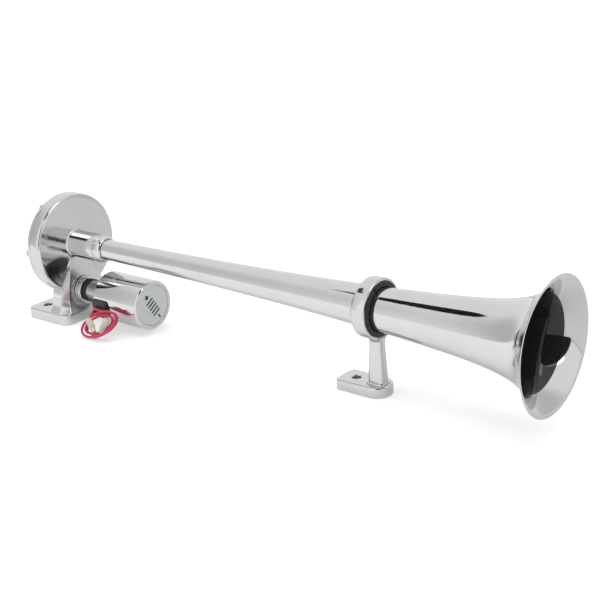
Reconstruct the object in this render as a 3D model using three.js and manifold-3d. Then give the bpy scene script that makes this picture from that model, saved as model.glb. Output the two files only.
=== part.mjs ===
// Single trumpet air horn with a solenoid valve. Millimetres, +Z up, +X towards the bell.
import * as THREE from "three";
import { mergeVertices } from "three/addons/utils/BufferGeometryUtils.js";
import Module from "manifold-3d";

// Clearance between neighbouring pieces
const GAP = 0.3;

// Drum of the sound housing, measured back from its flat front face
const AXIS_HEIGHT = 62.3;
const DRUM_RADIUS = 40.6;
const RIM_WIDTH = 3.5;
const RIM_ROUNDING = 2.4;
const HOUSING_DEPTH = 10.1;
const FRONT_WALL = 2.6;
const CHAMBER_INSET = 10.6;
const NOZZLE_BORE_RADIUS = 6.8;
const NOZZLE_WALL = 2.2;

// Boss that carries the trumpet
const BOSS_RADIUS = 11;
const BOSS_LENGTH = 28.8;
const BOSS_FOOT = 1.6;
const BORE_FLOOR = 3;
const SEAL_THICKNESS = 2.4;
const SEAL_WALL = 1.1;

// Diaphragm, its seal, the rear cover and the screws
const DIAPHRAGM_THICKNESS = 0.5;
const DIAPHRAGM_LAP = 3.5;
const COVER_SEAL_THICKNESS = 1.5;
const COVER_SEAL_WIDTH = 2.8;
const COVER_THICKNESS = 2.9;
const DOME_INSET = 12.6;
const DOME_HEIGHT = 3;
const DOME_WALL = 1.5;
const SCREW_COUNT = 6;
const SCREW_INSET = 3.6;
const SCREW_RADIUS = 1.9;
const SCREW_LENGTH = 10;
const SCREW_HEAD_RADIUS = 3.4;
const SCREW_HEAD_HEIGHT = 2.2;
const SCREW_SLOT_WIDTH = 0.9;
const SCREW_SLOT_DEPTH = 1.1;

// Trumpet, from the boss to the bell
const HORN_LENGTH = 430;
const THROAT_RADIUS = 8.1;
const HORN_WALL = 1;
const STRAIGHT_END = 36;
const CONE_RISE = 16.8;
const CONE_STRAIGHT_SHARE = 0.276;
const CONE_POWER = 2.79;
const BELL_RADIUS = 45.6;
const LIP_RISE = 6.8;
const LIP_LENGTH = 6.1;
const FLARE_LENGTH = 18.6;
const SPIGOT_LENGTH = 6;
const COLLAR_RADIUS = 11;
const COLLAR_LENGTH = 7.2;

// Pedestal and rear foot
const FOOT_THICKNESS = 8.7;
const FOOT_BACK = 38.5;
const FOOT_FRONT = 8.7;
const FOOT_HALF_WIDTH = 28.4;
const FOOT_BACK_CORNER = 5;
const FOOT_FRONT_CORNER = 7;
const FOOT_HOLE_RADIUS = 3.6;
const FOOT_HOLE_BACK = 28;
const FOOT_HOLE_SIDE = 15.5;
const PEDESTAL_BACK = 13;
const PEDESTAL_BACK_CHAMFER = 3;
const PEDESTAL_FRONT = 3;
const PEDESTAL_HALF_WIDTH = 24.6;
const PEDESTAL_TOP_HALF_WIDTH = 8.2;
const PEDESTAL_FACE_HALF_WIDTH = 18.4;
const PEDESTAL_FACE_TAPER = 6.9;
const PEDESTAL_SIDE_FLARE = 7;
const PEDESTAL_FRONT_FLARE = 12;

// Air inlet port in the pedestal's rear face, and the duct up to the chamber
const INLET_HEIGHT = 15.2;
const INLET_RADIUS = 4.9;
const INLET_DEPTH = 9;
const DUCT_RADIUS = 1.9;

// Solenoid valve, on its own axis below the trumpet
const VALVE_HEIGHT = 23.5;
const SOCKET_DEPTH = 8.5;
const NIPPLE_THREAD_RADIUS = 6.6;
const NIPPLE_THREAD_LENGTH = 3.8;
const NIPPLE_RADIUS = 11.6;
const NIPPLE_LENGTH = 6.2;
const NIPPLE_FLOOR = 0.9;
const NIPPLE_GROOVE = 0.8;
const NOSE_RADIUS = 4.2;
const NECK_RADIUS = 8.6;
const NECK_BORE_RADIUS = 7;
const NECK_SEAL_RADIUS = 9.4;
const NECK_SEAL_LENGTH = 2.9;
const SEAT_RADIUS = 3.6;
const SEAT_STEM_RADIUS = 2.5;
const SEAT_STEM_LENGTH = 2.6;
const SEAT_BORE_RADIUS = 1.5;
const SEAT_HEIGHT = 3.2;
const CAN_BACK = 34.6;
const CAN_LENGTH = 47.9;
const CAN_RADIUS = 19.7;
const CAN_WALL = 1.5;
const CAN_ROUNDING = 1.1;
const CAN_END_WALL = 2.8;
const CAP_RADIUS = 16;
const CAP_THICKNESS = 2;
const CAP_RECESS = 0.4;
const PLATE_THICKNESS = 2.5;
const BOBBIN_WALL = 1.3;
const BOBBIN_FLANGE = 1.7;
const WINDING_MARGIN = 0.7;
const CORE_LENGTH = 22;
const CORE_SCREW_RADIUS = 1.9;
const CORE_SCREW_HEAD_RADIUS = 4.1;
const CORE_SCREW_LENGTH = 12;
const PLUNGER_TRAVEL = 1.8;
const PLUNGER_SEAL_RADIUS = 3;
const PLUNGER_SEAL_LENGTH = 2.3;
const SPRING_RADIUS = 2.6;
const SPRING_WIRE = 0.8;
const SPRING_TURNS = 8;
const SPRING_LENGTH = 19;
const SPRING_POCKET_DEPTH = 6;

// Black outlet of the leads, in a window of the can
const OUTLET_BACK = 34.9;
const OUTLET_LENGTH = 15.3;
const OUTLET_BOTTOM = 12.6;
const OUTLET_HEIGHT = 14.2;
const OUTLET_FACE = 21.8;
const OUTLET_ROOT = 8;
const OUTLET_CORNER = 3;
const OUTLET_BACK_CORNER = 1.2;
const WINDOW_MARGIN = 1.5;
const EXIT_SETBACK = 3.6;
const EXIT_DROP = 6.3;
const EXIT_SPACING = 3;

// Leads: one oval loop in another, standing on the floor and leaning against the outlet
const LEAD_DIAMETER = 2;
const OUTER_HALF_LENGTH = 16.3;
const OUTER_HALF_WIDTH = 8.9;
const INNER_HALF_LENGTH = 12.3;
const INNER_HALF_WIDTH = 6.4;
const LOOP_PITCH = 2.7;
const LEAD_STEPS = 46;
const SLEEVE_LENGTH = 13;
const SLEEVE_NECK_RADIUS = 1.9;
const SLEEVE_RADIUS = 2.6;
const SLEEVE_WALL = 0.45;
const TERMINAL_WIDTH = 3.4;
const TERMINAL_THICKNESS = 1.5;
const TERMINAL_WALL = 0.35;
const BARREL_RADIUS = 1.1;

// Front bracket and its rubber liner
const BRACKET_SETBACK = 139;
const RING_WIDTH = 11.2;
const RING_WALL = 1.6;
const LINER_THICKNESS = 3.7;
const LINER_OVERHANG = 0.9;
const LINER_SPLIT = 1.2;
const LINER_SPLIT_ANGLE = 62;
const PILLAR_LENGTH = 9.8;
const PILLAR_WIDTH = 7.2;
const PILLAR_SPREAD = 2.6;
const PILLAR_ROUNDING = 2;
const PLINTH_MARGIN = 0.9;
const PLINTH_HEIGHT = 1.4;
const SHOE_THICKNESS = 7.5;
const SHOE_HALF_WIDTH = 10.9;
const SHOE_TOE = 30;
const SHOE_TOE_CORNER = 4.4;
const SHOE_HOLE_RADIUS = 3.2;
const SHOE_HOLE_SETBACK = 18.5;

const AROUND = 40;
const AROUND_SMALL = 24;

const wasm = await Module();
wasm.setup();

// A closed solid from a three.js geometry, turned right side out
function solidOf(geometry) {
  const bare = geometry.index ? geometry.toNonIndexed() : geometry.clone();
  bare.deleteAttribute("normal");
  bare.deleteAttribute("uv");
  const merged = mergeVertices(bare, 1e-4);
  const index = merged.index.array;
  const kept = [];
  for (let i = 0; i < index.length; i += 3) {
    const [a, b, c] = [index[i], index[i + 1], index[i + 2]];
    if (a !== b && b !== c && c !== a) kept.push(a, b, c);
  }
  const build = (faces) =>
    new wasm.Manifold(
      new wasm.Mesh({
        numProp: 3,
        vertProperties: new Float32Array(merged.attributes.position.array),
        triVerts: new Uint32Array(faces),
      }),
    );
  const made = build(kept);
  return made.volume() < 0 ? build(kept.toReversed()) : made;
}

// A solid of revolution about the line through (0, 0, height) along X, from points [x, radius]
function revolve(profile, height, around = AROUND) {
  const closed = profile[0][1] > 0 ? [...profile, profile[0]] : profile;
  const points = closed.map(([x, r]) => new THREE.Vector2(Math.max(r, 0), x));
  const geometry = new THREE.LatheGeometry(points, around);
  geometry.rotateZ(-Math.PI / 2).translate(0, 0, height);
  return solidOf(geometry);
}

// A round rod between two points
function rod(from, to, radius, around = AROUND_SMALL) {
  const span = new THREE.Vector3().subVectors(to, from);
  const geometry = new THREE.CylinderGeometry(radius, radius, span.length(), around);
  geometry.rotateZ(-Math.PI / 2);
  const turn = new THREE.Quaternion().setFromUnitVectors(
    new THREE.Vector3(1, 0, 0),
    span.clone().normalize(),
  );
  geometry.applyQuaternion(turn);
  geometry.translate(...new THREE.Vector3().addVectors(from, to).multiplyScalar(0.5));
  return solidOf(geometry);
}

function box(x0, x1, y0, y1, z0, z1) {
  const geometry = new THREE.BoxGeometry(x1 - x0, y1 - y0, z1 - z0);
  return solidOf(geometry.translate((x0 + x1) / 2, (y0 + y1) / 2, (z0 + z1) / 2));
}

// A rectangle with its own corner radius at the low and at the high end of its first axis
function roundedRectangle(a0, a1, b0, b1, lowCorner, highCorner) {
  const shape = new THREE.Shape();
  shape.absarc(a1 - highCorner, b1 - highCorner, highCorner, 0, Math.PI / 2);
  shape.absarc(a0 + lowCorner, b1 - lowCorner, lowCorner, Math.PI / 2, Math.PI);
  shape.absarc(a0 + lowCorner, b0 + lowCorner, lowCorner, Math.PI, 1.5 * Math.PI);
  shape.absarc(a1 - highCorner, b0 + highCorner, highCorner, 1.5 * Math.PI, 2 * Math.PI);
  shape.closePath();
  return shape;
}

function plateOf(shape, z0, z1, curveSegments = 6) {
  const options = { depth: z1 - z0, bevelEnabled: false, curveSegments };
  return solidOf(new THREE.ExtrudeGeometry(shape, options).translate(0, 0, z0));
}

// A solid through rings of points, each ring with the same count
function loft(rings) {
  const count = rings[0].length;
  const positions = rings.flat(2);
  const faces = [];
  for (let ring = 0; ring + 1 < rings.length; ring++) {
    for (let i = 0; i < count; i++) {
      const a = ring * count + i;
      const b = ring * count + ((i + 1) % count);
      faces.push(a, b, b + count, a, b + count, a + count);
    }
  }
  const last = (rings.length - 1) * count;
  for (let i = 1; i + 1 < count; i++) {
    faces.push(0, i + 1, i, last, last + i, last + i + 1);
  }
  const geometry = new THREE.BufferGeometry();
  geometry.setAttribute("position", new THREE.Float32BufferAttribute(positions, 3));
  geometry.setIndex(faces);
  return solidOf(geometry);
}

function tube(curve, diameter, steps, sides) {
  const section = new THREE.Shape();
  for (let i = 0; i < sides; i++) {
    const angle = (2 * Math.PI * i) / sides;
    const point = [(diameter / 2) * Math.cos(angle), (diameter / 2) * Math.sin(angle)];
    if (i === 0) section.moveTo(...point);
    else section.lineTo(...point);
  }
  section.closePath();
  return new THREE.ExtrudeGeometry(section, { steps, extrudePath: curve, bevelEnabled: false });
}

// The least free distance between two stretches of one tube that lie apart along it
function leastGap(curve, diameter) {
  const points = curve.getSpacedPoints(600);
  const skip = Math.ceil((4 * diameter) / (curve.getLength() / 600));
  let least = Infinity;
  points.forEach((p, i) => {
    for (let j = i + skip; j < points.length; j++) {
      least = Math.min(least, p.distanceTo(points[j]) - diameter);
    }
  });
  return least;
}

const chrome = [0xd3d4d6, 0.08, 1];
const castChrome = [0xcccdcf, 0.12, 1];
const steel = [0xa9abad, 0.35, 1];
const blackRubber = [0x141414, 0.75, 0];
const group = new THREE.Group();

function piece(name, solid, [color, roughness, metalness]) {
  const mesh = solid.getMesh();
  const geometry = new THREE.BufferGeometry();
  const positions = new THREE.BufferAttribute(mesh.vertProperties, mesh.numProp);
  geometry.setAttribute("position", positions);
  geometry.setIndex(new THREE.BufferAttribute(mesh.triVerts, 1));
  geometry.computeVertexNormals();
  const material = new THREE.MeshStandardMaterial({ color, roughness, metalness });
  const made = new THREE.Mesh(geometry, material);
  made.name = name;
  group.add(made);
}

const at = (x, y, z) => new THREE.Vector3(x, y, z);

// Stations of the drum, from its middle out and from the clamp face back
const faceRadius = DRUM_RADIUS - RIM_WIDTH;
const chamberRadius = DRUM_RADIUS - CHAMBER_INSET;
const domeRadius = DRUM_RADIUS - DOME_INSET;
const screwCircle = DRUM_RADIUS - SCREW_INSET;
const coverFront = -HOUSING_DEPTH - GAP;
const coverBack = coverFront - COVER_THICKNESS;
const sealBack = coverFront + GAP;
const sealFront = sealBack + COVER_SEAL_THICKNESS;
const diaphragmBack = sealFront + GAP;
const diaphragmFront = diaphragmBack + DIAPHRAGM_THICKNESS;
const diaphragmRadius = chamberRadius + DIAPHRAGM_LAP;
const ledge = diaphragmFront + GAP;
const recessRadius = diaphragmRadius + GAP;
const domeBack = coverBack - DOME_HEIGHT;
const boreRadius = THROAT_RADIUS + GAP;
const nozzleRadius = NOZZLE_BORE_RADIUS + NOZZLE_WALL;
const sealSeat = BORE_FLOOR + GAP;
const hornStart = sealSeat + SEAL_THICKNESS + GAP;

// Stations of the valve
const nippleFace = PEDESTAL_FRONT + 0.5 + GAP;
const nippleFront = nippleFace + NIPPLE_LENGTH;
const nippleBack = nippleFace - NIPPLE_THREAD_LENGTH - GAP;
const socketFloor = PEDESTAL_FRONT - SOCKET_DEPTH;
const socketRadius = NIPPLE_THREAD_RADIUS + GAP;
const seatBack = socketFloor + GAP;
const seatFront = seatBack + SEAT_HEIGHT;
const neckBack = nippleFace + NIPPLE_FLOOR + GAP;
const canFront = CAN_BACK + CAN_LENGTH;
const canInnerRadius = CAN_RADIUS - CAN_WALL;
const endWallFront = canFront - CAP_RECESS - CAP_THICKNESS - GAP;
const endWallBack = endWallFront - CAN_END_WALL;
const neckFront = endWallBack - GAP;
const plateBack = CAN_BACK + GAP;
const plateFront = plateBack + PLATE_THICKNESS;
const bobbinBack = plateFront + GAP;
const bobbinFront = endWallBack - GAP;
const bobbinBore = NECK_RADIUS + GAP;
const bobbinRadius = canInnerRadius - GAP;
const windingInner = bobbinBore + BOBBIN_WALL + GAP;
const windingOuter = bobbinRadius - WINDING_MARGIN;
const coreBack = neckFront - CORE_LENGTH;
const plungerFront = coreBack - PLUNGER_TRAVEL - GAP;
const plungerRadius = NECK_BORE_RADIUS - GAP;
const plungerSealBack = seatFront + GAP;
const plungerSealFront = plungerSealBack + PLUNGER_SEAL_LENGTH;
const noseBack = plungerSealBack + 0.8;
const pocketRadius = SPRING_RADIUS + SPRING_WIRE / 2 + GAP;
const springFront = coreBack + SPRING_POCKET_DEPTH - GAP;
const springBack = springFront - SPRING_LENGTH;

// Pedestal outline at a height: ridges at its front, chamfers at its back, all flaring to the foot
const pedestalTop = AXIS_HEIGHT - BOSS_RADIUS + 1.5;
function pedestalSection(z) {
  const up = z - FOOT_THICKNESS;
  const rise = up / (pedestalTop - FOOT_THICKNESS);
  const sideFlare = Math.max(0, 1 - up / PEDESTAL_SIDE_FLARE) ** 2;
  const frontFlare = Math.max(0, 1 - up / PEDESTAL_FRONT_FLARE) ** 2;
  const reach = FOOT_FRONT - PEDESTAL_FRONT - 1;
  const front = PEDESTAL_FRONT * (1 - rise ** 3) + 0.5 + reach * frontFlare;
  const narrowing = (PEDESTAL_HALF_WIDTH - PEDESTAL_TOP_HALF_WIDTH) * rise ** 2.1;
  const widening = (FOOT_HALF_WIDTH - 0.3 - PEDESTAL_HALF_WIDTH) * sideFlare;
  const side = PEDESTAL_HALF_WIDTH - narrowing + widening;
  const lean = 0.83 * (front - PEDESTAL_FRONT - 0.5);
  const face = PEDESTAL_FACE_HALF_WIDTH - PEDESTAL_FACE_TAPER * rise + lean;
  const half = [
    [-PEDESTAL_BACK, side - PEDESTAL_BACK_CHAMFER],
    [-PEDESTAL_BACK + PEDESTAL_BACK_CHAMFER, side],
    [0, side],
    [front, face],
  ];
  const mirrored = half.toReversed().map(([x, y]) => [x, y, z]);
  return [...half.map(([x, y]) => [x, -y, z]), ...mirrored];
}

// Sound housing: drum, boss, pedestal and foot in one casting
const drum = revolve(
  [
    [-HOUSING_DEPTH, 0],
    [-HOUSING_DEPTH, DRUM_RADIUS],
    [-RIM_ROUNDING, DRUM_RADIUS],
    [-RIM_ROUNDING * 0.55, DRUM_RADIUS - RIM_WIDTH * 0.14],
    [-RIM_ROUNDING * 0.2, DRUM_RADIUS - RIM_WIDTH * 0.45],
    [0, faceRadius],
    [0, BOSS_RADIUS + BOSS_FOOT],
    [BOSS_FOOT * 0.3, BOSS_RADIUS + BOSS_FOOT * 0.3],
    [BOSS_FOOT, BOSS_RADIUS],
    [BOSS_LENGTH - 0.5, BOSS_RADIUS],
    [BOSS_LENGTH, BOSS_RADIUS - 0.5],
    [BOSS_LENGTH, 0],
  ],
  AXIS_HEIGHT,
);
const pedestalRings = [];
const PEDESTAL_RINGS = 9;
for (let i = 0; i <= PEDESTAL_RINGS; i++) {
  const share = (i / PEDESTAL_RINGS) ** 1.5;
  const z = FOOT_THICKNESS - 0.4 + (pedestalTop - FOOT_THICKNESS + 0.4) * share;
  pedestalRings.push(pedestalSection(Math.max(z, FOOT_THICKNESS)).map(([x, y]) => [x, y, z]));
}
const coverRoom = revolve(
  [
    [-HOUSING_DEPTH, 0],
    [-HOUSING_DEPTH, DRUM_RADIUS + GAP],
    [-PEDESTAL_BACK - 5, DRUM_RADIUS + GAP],
    [-PEDESTAL_BACK - 5, 0],
  ],
  AXIS_HEIGHT,
);
const pedestal = loft(pedestalRings).subtract(coverRoom);
const footShape = roundedRectangle(
  -FOOT_BACK,
  FOOT_FRONT,
  -FOOT_HALF_WIDTH,
  FOOT_HALF_WIDTH,
  FOOT_BACK_CORNER,
  FOOT_FRONT_CORNER,
);
for (const side of [-1, 1]) {
  const hole = new THREE.Path();
  hole.absarc(-FOOT_HOLE_BACK, side * FOOT_HOLE_SIDE, FOOT_HOLE_RADIUS, 0, 2 * Math.PI);
  footShape.holes.push(hole);
}
const recess = revolve(
  [
    [-HOUSING_DEPTH - 1, 0],
    [-HOUSING_DEPTH - 1, recessRadius],
    [ledge, recessRadius],
    [ledge, 0],
  ],
  AXIS_HEIGHT,
);
const chamber = revolve(
  [
    [ledge - 1, nozzleRadius],
    [ledge - 1, chamberRadius],
    [-FRONT_WALL - 1, chamberRadius],
    [-FRONT_WALL, chamberRadius - 1],
    [-FRONT_WALL, nozzleRadius + 1],
    [-FRONT_WALL - 1, nozzleRadius],
  ],
  AXIS_HEIGHT,
);
const hornBore = revolve(
  [
    [-HOUSING_DEPTH - 1, 0],
    [-HOUSING_DEPTH - 1, NOZZLE_BORE_RADIUS],
    [BORE_FLOOR, NOZZLE_BORE_RADIUS],
    [BORE_FLOOR, boreRadius],
    [BOSS_LENGTH + 1, boreRadius],
    [BOSS_LENGTH + 1, 0],
  ],
  AXIS_HEIGHT,
);
const stemFloor = socketFloor - SEAT_STEM_LENGTH;
const socket = revolve(
  [
    [stemFloor, 0],
    [stemFloor, SEAT_STEM_RADIUS + GAP],
    [socketFloor, SEAT_STEM_RADIUS + GAP],
    [socketFloor, socketRadius],
    [FOOT_FRONT + 1, socketRadius],
    [FOOT_FRONT + 1, 0],
  ],
  VALVE_HEIGHT,
  AROUND_SMALL,
);
const spotFace = rod(
  at(nippleFace - GAP, 0, VALVE_HEIGHT),
  at(FOOT_FRONT + 1, 0, VALVE_HEIGHT),
  NIPPLE_RADIUS + GAP,
);
const ductX = stemFloor + DUCT_RADIUS + 0.2;
const duct = rod(
  at(ductX, 0, VALVE_HEIGHT),
  at(ductX, 0, AXIS_HEIGHT - chamberRadius + DUCT_RADIUS),
  DUCT_RADIUS,
  12,
);
const inletBore = rod(
  at(-PEDESTAL_BACK - 1, 0, INLET_HEIGHT),
  at(-PEDESTAL_BACK + INLET_DEPTH, 0, INLET_HEIGHT),
  INLET_RADIUS,
);
let housing = drum
  .add(pedestal)
  .add(plateOf(footShape, 0, FOOT_THICKNESS))
  .subtract(recess)
  .subtract(chamber)
  .subtract(hornBore)
  .subtract(spotFace)
  .subtract(socket)
  .subtract(duct)
  .subtract(inletBore);
const screwPlaces = [];
for (let i = 0; i < SCREW_COUNT; i++) {
  const angle = (2 * Math.PI * i) / SCREW_COUNT;
  const y = screwCircle * Math.cos(angle);
  screwPlaces.push([y, AXIS_HEIGHT + screwCircle * Math.sin(angle)]);
}
const screwBack = coverBack - GAP;
const screwFront = screwBack + SCREW_LENGTH;
for (const [y, z] of screwPlaces) {
  const from = at(coverBack - 1, y, z);
  housing = housing.subtract(rod(from, at(screwFront + GAP, y, z), SCREW_RADIUS + GAP, 12));
}
piece("sound_housing", housing, castChrome);

// Diaphragm, its rubber seal and the rear cover
const diaphragmProfile = [
  [diaphragmBack, 0],
  [diaphragmBack, diaphragmRadius],
  [diaphragmFront, diaphragmRadius],
  [diaphragmFront, 0],
];
piece("diaphragm", revolve(diaphragmProfile, AXIS_HEIGHT), steel);
const coverSealProfile = [
  [sealBack, diaphragmRadius - COVER_SEAL_WIDTH],
  [sealBack, diaphragmRadius],
  [sealFront, diaphragmRadius],
  [sealFront, diaphragmRadius - COVER_SEAL_WIDTH],
];
piece("housing_seal", revolve(coverSealProfile, AXIS_HEIGHT), blackRubber);
let cover = revolve(
  [
    [coverFront, domeRadius - 1.4],
    [coverFront, DRUM_RADIUS],
    [coverBack + 0.6, DRUM_RADIUS],
    [coverBack, DRUM_RADIUS - 0.6],
    [coverBack, domeRadius + 1.6],
    [domeBack + 1, domeRadius],
    [domeBack, domeRadius - 1.6],
    [domeBack, 0],
    [domeBack + DOME_WALL, 0],
    [domeBack + DOME_WALL, domeRadius - 2.6],
  ],
  AXIS_HEIGHT,
);
for (const [y, z] of screwPlaces) {
  const hole = rod(at(coverBack - 1, y, z), at(coverFront + 1, y, z), SCREW_RADIUS + GAP, 12);
  cover = cover.subtract(hole);
}
piece("rear_cover", cover, castChrome);

// Pan head screws of the cover, each with a cross slot
screwPlaces.forEach(([y, z], i) => {
  const headBack = screwBack - SCREW_HEAD_HEIGHT;
  const profile = [
    [headBack, 0],
    [headBack, SCREW_HEAD_RADIUS - 1],
    [headBack + 0.8, SCREW_HEAD_RADIUS],
    [screwBack, SCREW_HEAD_RADIUS],
    [screwBack, SCREW_RADIUS],
    [screwFront, SCREW_RADIUS],
    [screwFront, 0],
  ];
  const points = profile.map(([x, r]) => new THREE.Vector2(r, x));
  const shape = new THREE.LatheGeometry(points, 12).rotateZ(-Math.PI / 2).translate(0, y, z);
  const half = SCREW_SLOT_WIDTH / 2;
  const reach = SCREW_HEAD_RADIUS * 0.6;
  const floor = headBack + SCREW_SLOT_DEPTH;
  const screw = solidOf(shape)
    .subtract(box(headBack - 1, floor, y - reach, y + reach, z - half, z + half))
    .subtract(box(headBack - 1, floor, y - half, y + half, z - reach, z + reach));
  piece(`cover_screw_${i + 1}`, screw, steel);
});

// Trumpet tube, straight in the boss and then a slow cone, and the bell soldered over its end
function hornRadius(x) {
  const way = Math.max(0, x - STRAIGHT_END) / (HORN_LENGTH - STRAIGHT_END);
  const bend = CONE_STRAIGHT_SHARE * way + (1 - CONE_STRAIGHT_SHARE) * way ** CONE_POWER;
  const cone = THROAT_RADIUS + CONE_RISE * bend;
  const flareRise = BELL_RADIUS - THROAT_RADIUS - CONE_RISE - LIP_RISE;
  const flare = flareRise * Math.exp((x - HORN_LENGTH) / FLARE_LENGTH);
  return cone + flare + LIP_RISE * Math.exp((x - HORN_LENGTH) / LIP_LENGTH);
}
function innerWall([x, radius]) {
  const slope = x > STRAIGHT_END ? (hornRadius(x + 0.01) - hornRadius(x - 0.01)) / 0.02 : 0;
  const lean = Math.atan(slope);
  return [x + HORN_WALL * Math.sin(lean), radius - HORN_WALL * Math.cos(lean)];
}
const bracketBack = HORN_LENGTH - BRACKET_SETBACK;
const tubeEnd = bracketBack + RING_WIDTH / 2;
const TUBE_STEPS = 5;
const tubeOutside = [
  [hornStart, THROAT_RADIUS],
  [STRAIGHT_END, THROAT_RADIUS],
];
for (let i = 1; i <= TUBE_STEPS; i++) {
  const x = STRAIGHT_END + ((tubeEnd - STRAIGHT_END) * i) / TUBE_STEPS;
  tubeOutside.push([x, hornRadius(x)]);
}
const spigotRadius = hornRadius(tubeEnd) - HORN_WALL - GAP;
const spigotEnd = tubeEnd + SPIGOT_LENGTH;
const spigot = [
  [tubeEnd, spigotRadius],
  [spigotEnd, spigotRadius],
  [spigotEnd, spigotRadius - HORN_WALL],
  [tubeEnd - HORN_WALL, spigotRadius - HORN_WALL],
];
const tubeInside = tubeOutside.slice(0, -1).map(innerWall).toReversed();
const tubeProfile = [...tubeOutside, ...spigot, ...tubeInside];
piece("trumpet", revolve(tubeProfile, AXIS_HEIGHT), chrome);
const BELL_STEPS = 11;
const bellStart = tubeEnd + GAP;
const bellOutside = [];
for (let i = 0; i <= BELL_STEPS; i++) {
  const x = HORN_LENGTH - (HORN_LENGTH - bellStart) * (1 - i / BELL_STEPS) ** 1.8;
  bellOutside.push([x, hornRadius(x)]);
}
const bellInside = bellOutside.map(innerWall).filter(([x]) => x < HORN_LENGTH - 0.3);
bellInside.push([HORN_LENGTH, BELL_RADIUS - HORN_WALL * 0.8]);
bellInside[0][0] = bellStart;
const bellProfile = [...bellOutside, ...bellInside.toReversed()];
piece("bell", revolve(bellProfile, AXIS_HEIGHT), chrome);

const collarBack = BOSS_LENGTH + GAP;
const collarFront = collarBack + COLLAR_LENGTH;
const collarProfile = [
  [collarBack, boreRadius],
  [collarBack, COLLAR_RADIUS - 0.5],
  [collarBack + 0.5, COLLAR_RADIUS],
  [collarBack + 1.3, COLLAR_RADIUS],
  [collarBack + 1.7, COLLAR_RADIUS - 0.6],
  [collarBack + 2.2, COLLAR_RADIUS - 0.2],
  [collarFront - 2.6, COLLAR_RADIUS - 0.3],
  [collarFront - 0.9, COLLAR_RADIUS - 1],
  [collarFront, COLLAR_RADIUS - 2.1],
  [collarFront, boreRadius],
];
piece("trumpet_collar", revolve(collarProfile, AXIS_HEIGHT, 32), chrome);
const hornSealProfile = [
  [sealSeat, THROAT_RADIUS - SEAL_WALL],
  [sealSeat, THROAT_RADIUS],
  [sealSeat + SEAL_THICKNESS, THROAT_RADIUS],
  [sealSeat + SEAL_THICKNESS, THROAT_RADIUS - SEAL_WALL],
];
piece("trumpet_seal", revolve(hornSealProfile, AXIS_HEIGHT, AROUND_SMALL), blackRubber);

// Valve seat, nipple, neck tube and the black seal between them
const seatProfile = [
  [stemFloor + GAP, SEAT_BORE_RADIUS],
  [stemFloor + GAP, SEAT_STEM_RADIUS],
  [seatBack, SEAT_STEM_RADIUS],
  [seatBack, SEAT_RADIUS],
  [seatFront - 1.2, SEAT_RADIUS],
  [seatFront, SEAT_BORE_RADIUS + 0.5],
  [seatFront, SEAT_BORE_RADIUS],
];
piece("valve_seat", revolve(seatProfile, VALVE_HEIGHT, 24), [0xb89a55, 0.3, 1]);
const grooveBack = nippleFace + NIPPLE_LENGTH * 0.16;
const grooveFront = nippleFace + NIPPLE_LENGTH * 0.66;
const nippleProfile = [
  [nippleBack, NOSE_RADIUS + GAP],
  [nippleBack, NIPPLE_THREAD_RADIUS],
  [nippleFace, NIPPLE_THREAD_RADIUS],
  [nippleFace, NIPPLE_RADIUS - 0.4],
  [nippleFace + 0.4, NIPPLE_RADIUS],
  [grooveBack, NIPPLE_RADIUS],
  [grooveBack + 0.3, NIPPLE_RADIUS - NIPPLE_GROOVE],
  [grooveBack + 0.7, NIPPLE_RADIUS - NIPPLE_GROOVE],
  [grooveBack + 1, NIPPLE_RADIUS],
  [grooveFront, NIPPLE_RADIUS],
  [grooveFront + 0.3, NIPPLE_RADIUS - NIPPLE_GROOVE],
  [grooveFront + 0.7, NIPPLE_RADIUS - NIPPLE_GROOVE],
  [grooveFront + 1, NIPPLE_RADIUS],
  [nippleFront - 0.7, NIPPLE_RADIUS],
  [nippleFront, NIPPLE_RADIUS - 0.7],
  [nippleFront, NECK_RADIUS + GAP],
  [neckBack - GAP, NECK_RADIUS + GAP],
  [neckBack - GAP, NOSE_RADIUS + GAP],
];
piece("valve_nipple", revolve(nippleProfile, VALVE_HEIGHT, 28), chrome);
const neckSealProfile = [
  [nippleFront + GAP, NECK_RADIUS + GAP],
  [nippleFront + GAP, NECK_SEAL_RADIUS],
  [nippleFront + GAP + NECK_SEAL_LENGTH, NECK_SEAL_RADIUS],
  [nippleFront + GAP + NECK_SEAL_LENGTH, NECK_RADIUS + GAP],
];
piece("nipple_seal", revolve(neckSealProfile, VALVE_HEIGHT, AROUND_SMALL), blackRubber);
const neckProfile = [
  [neckBack, NECK_BORE_RADIUS],
  [neckBack, NECK_RADIUS],
  [neckFront, NECK_RADIUS],
  [neckFront, NECK_BORE_RADIUS],
];
piece("valve_neck", revolve(neckProfile, VALVE_HEIGHT, AROUND_SMALL), steel);

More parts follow.
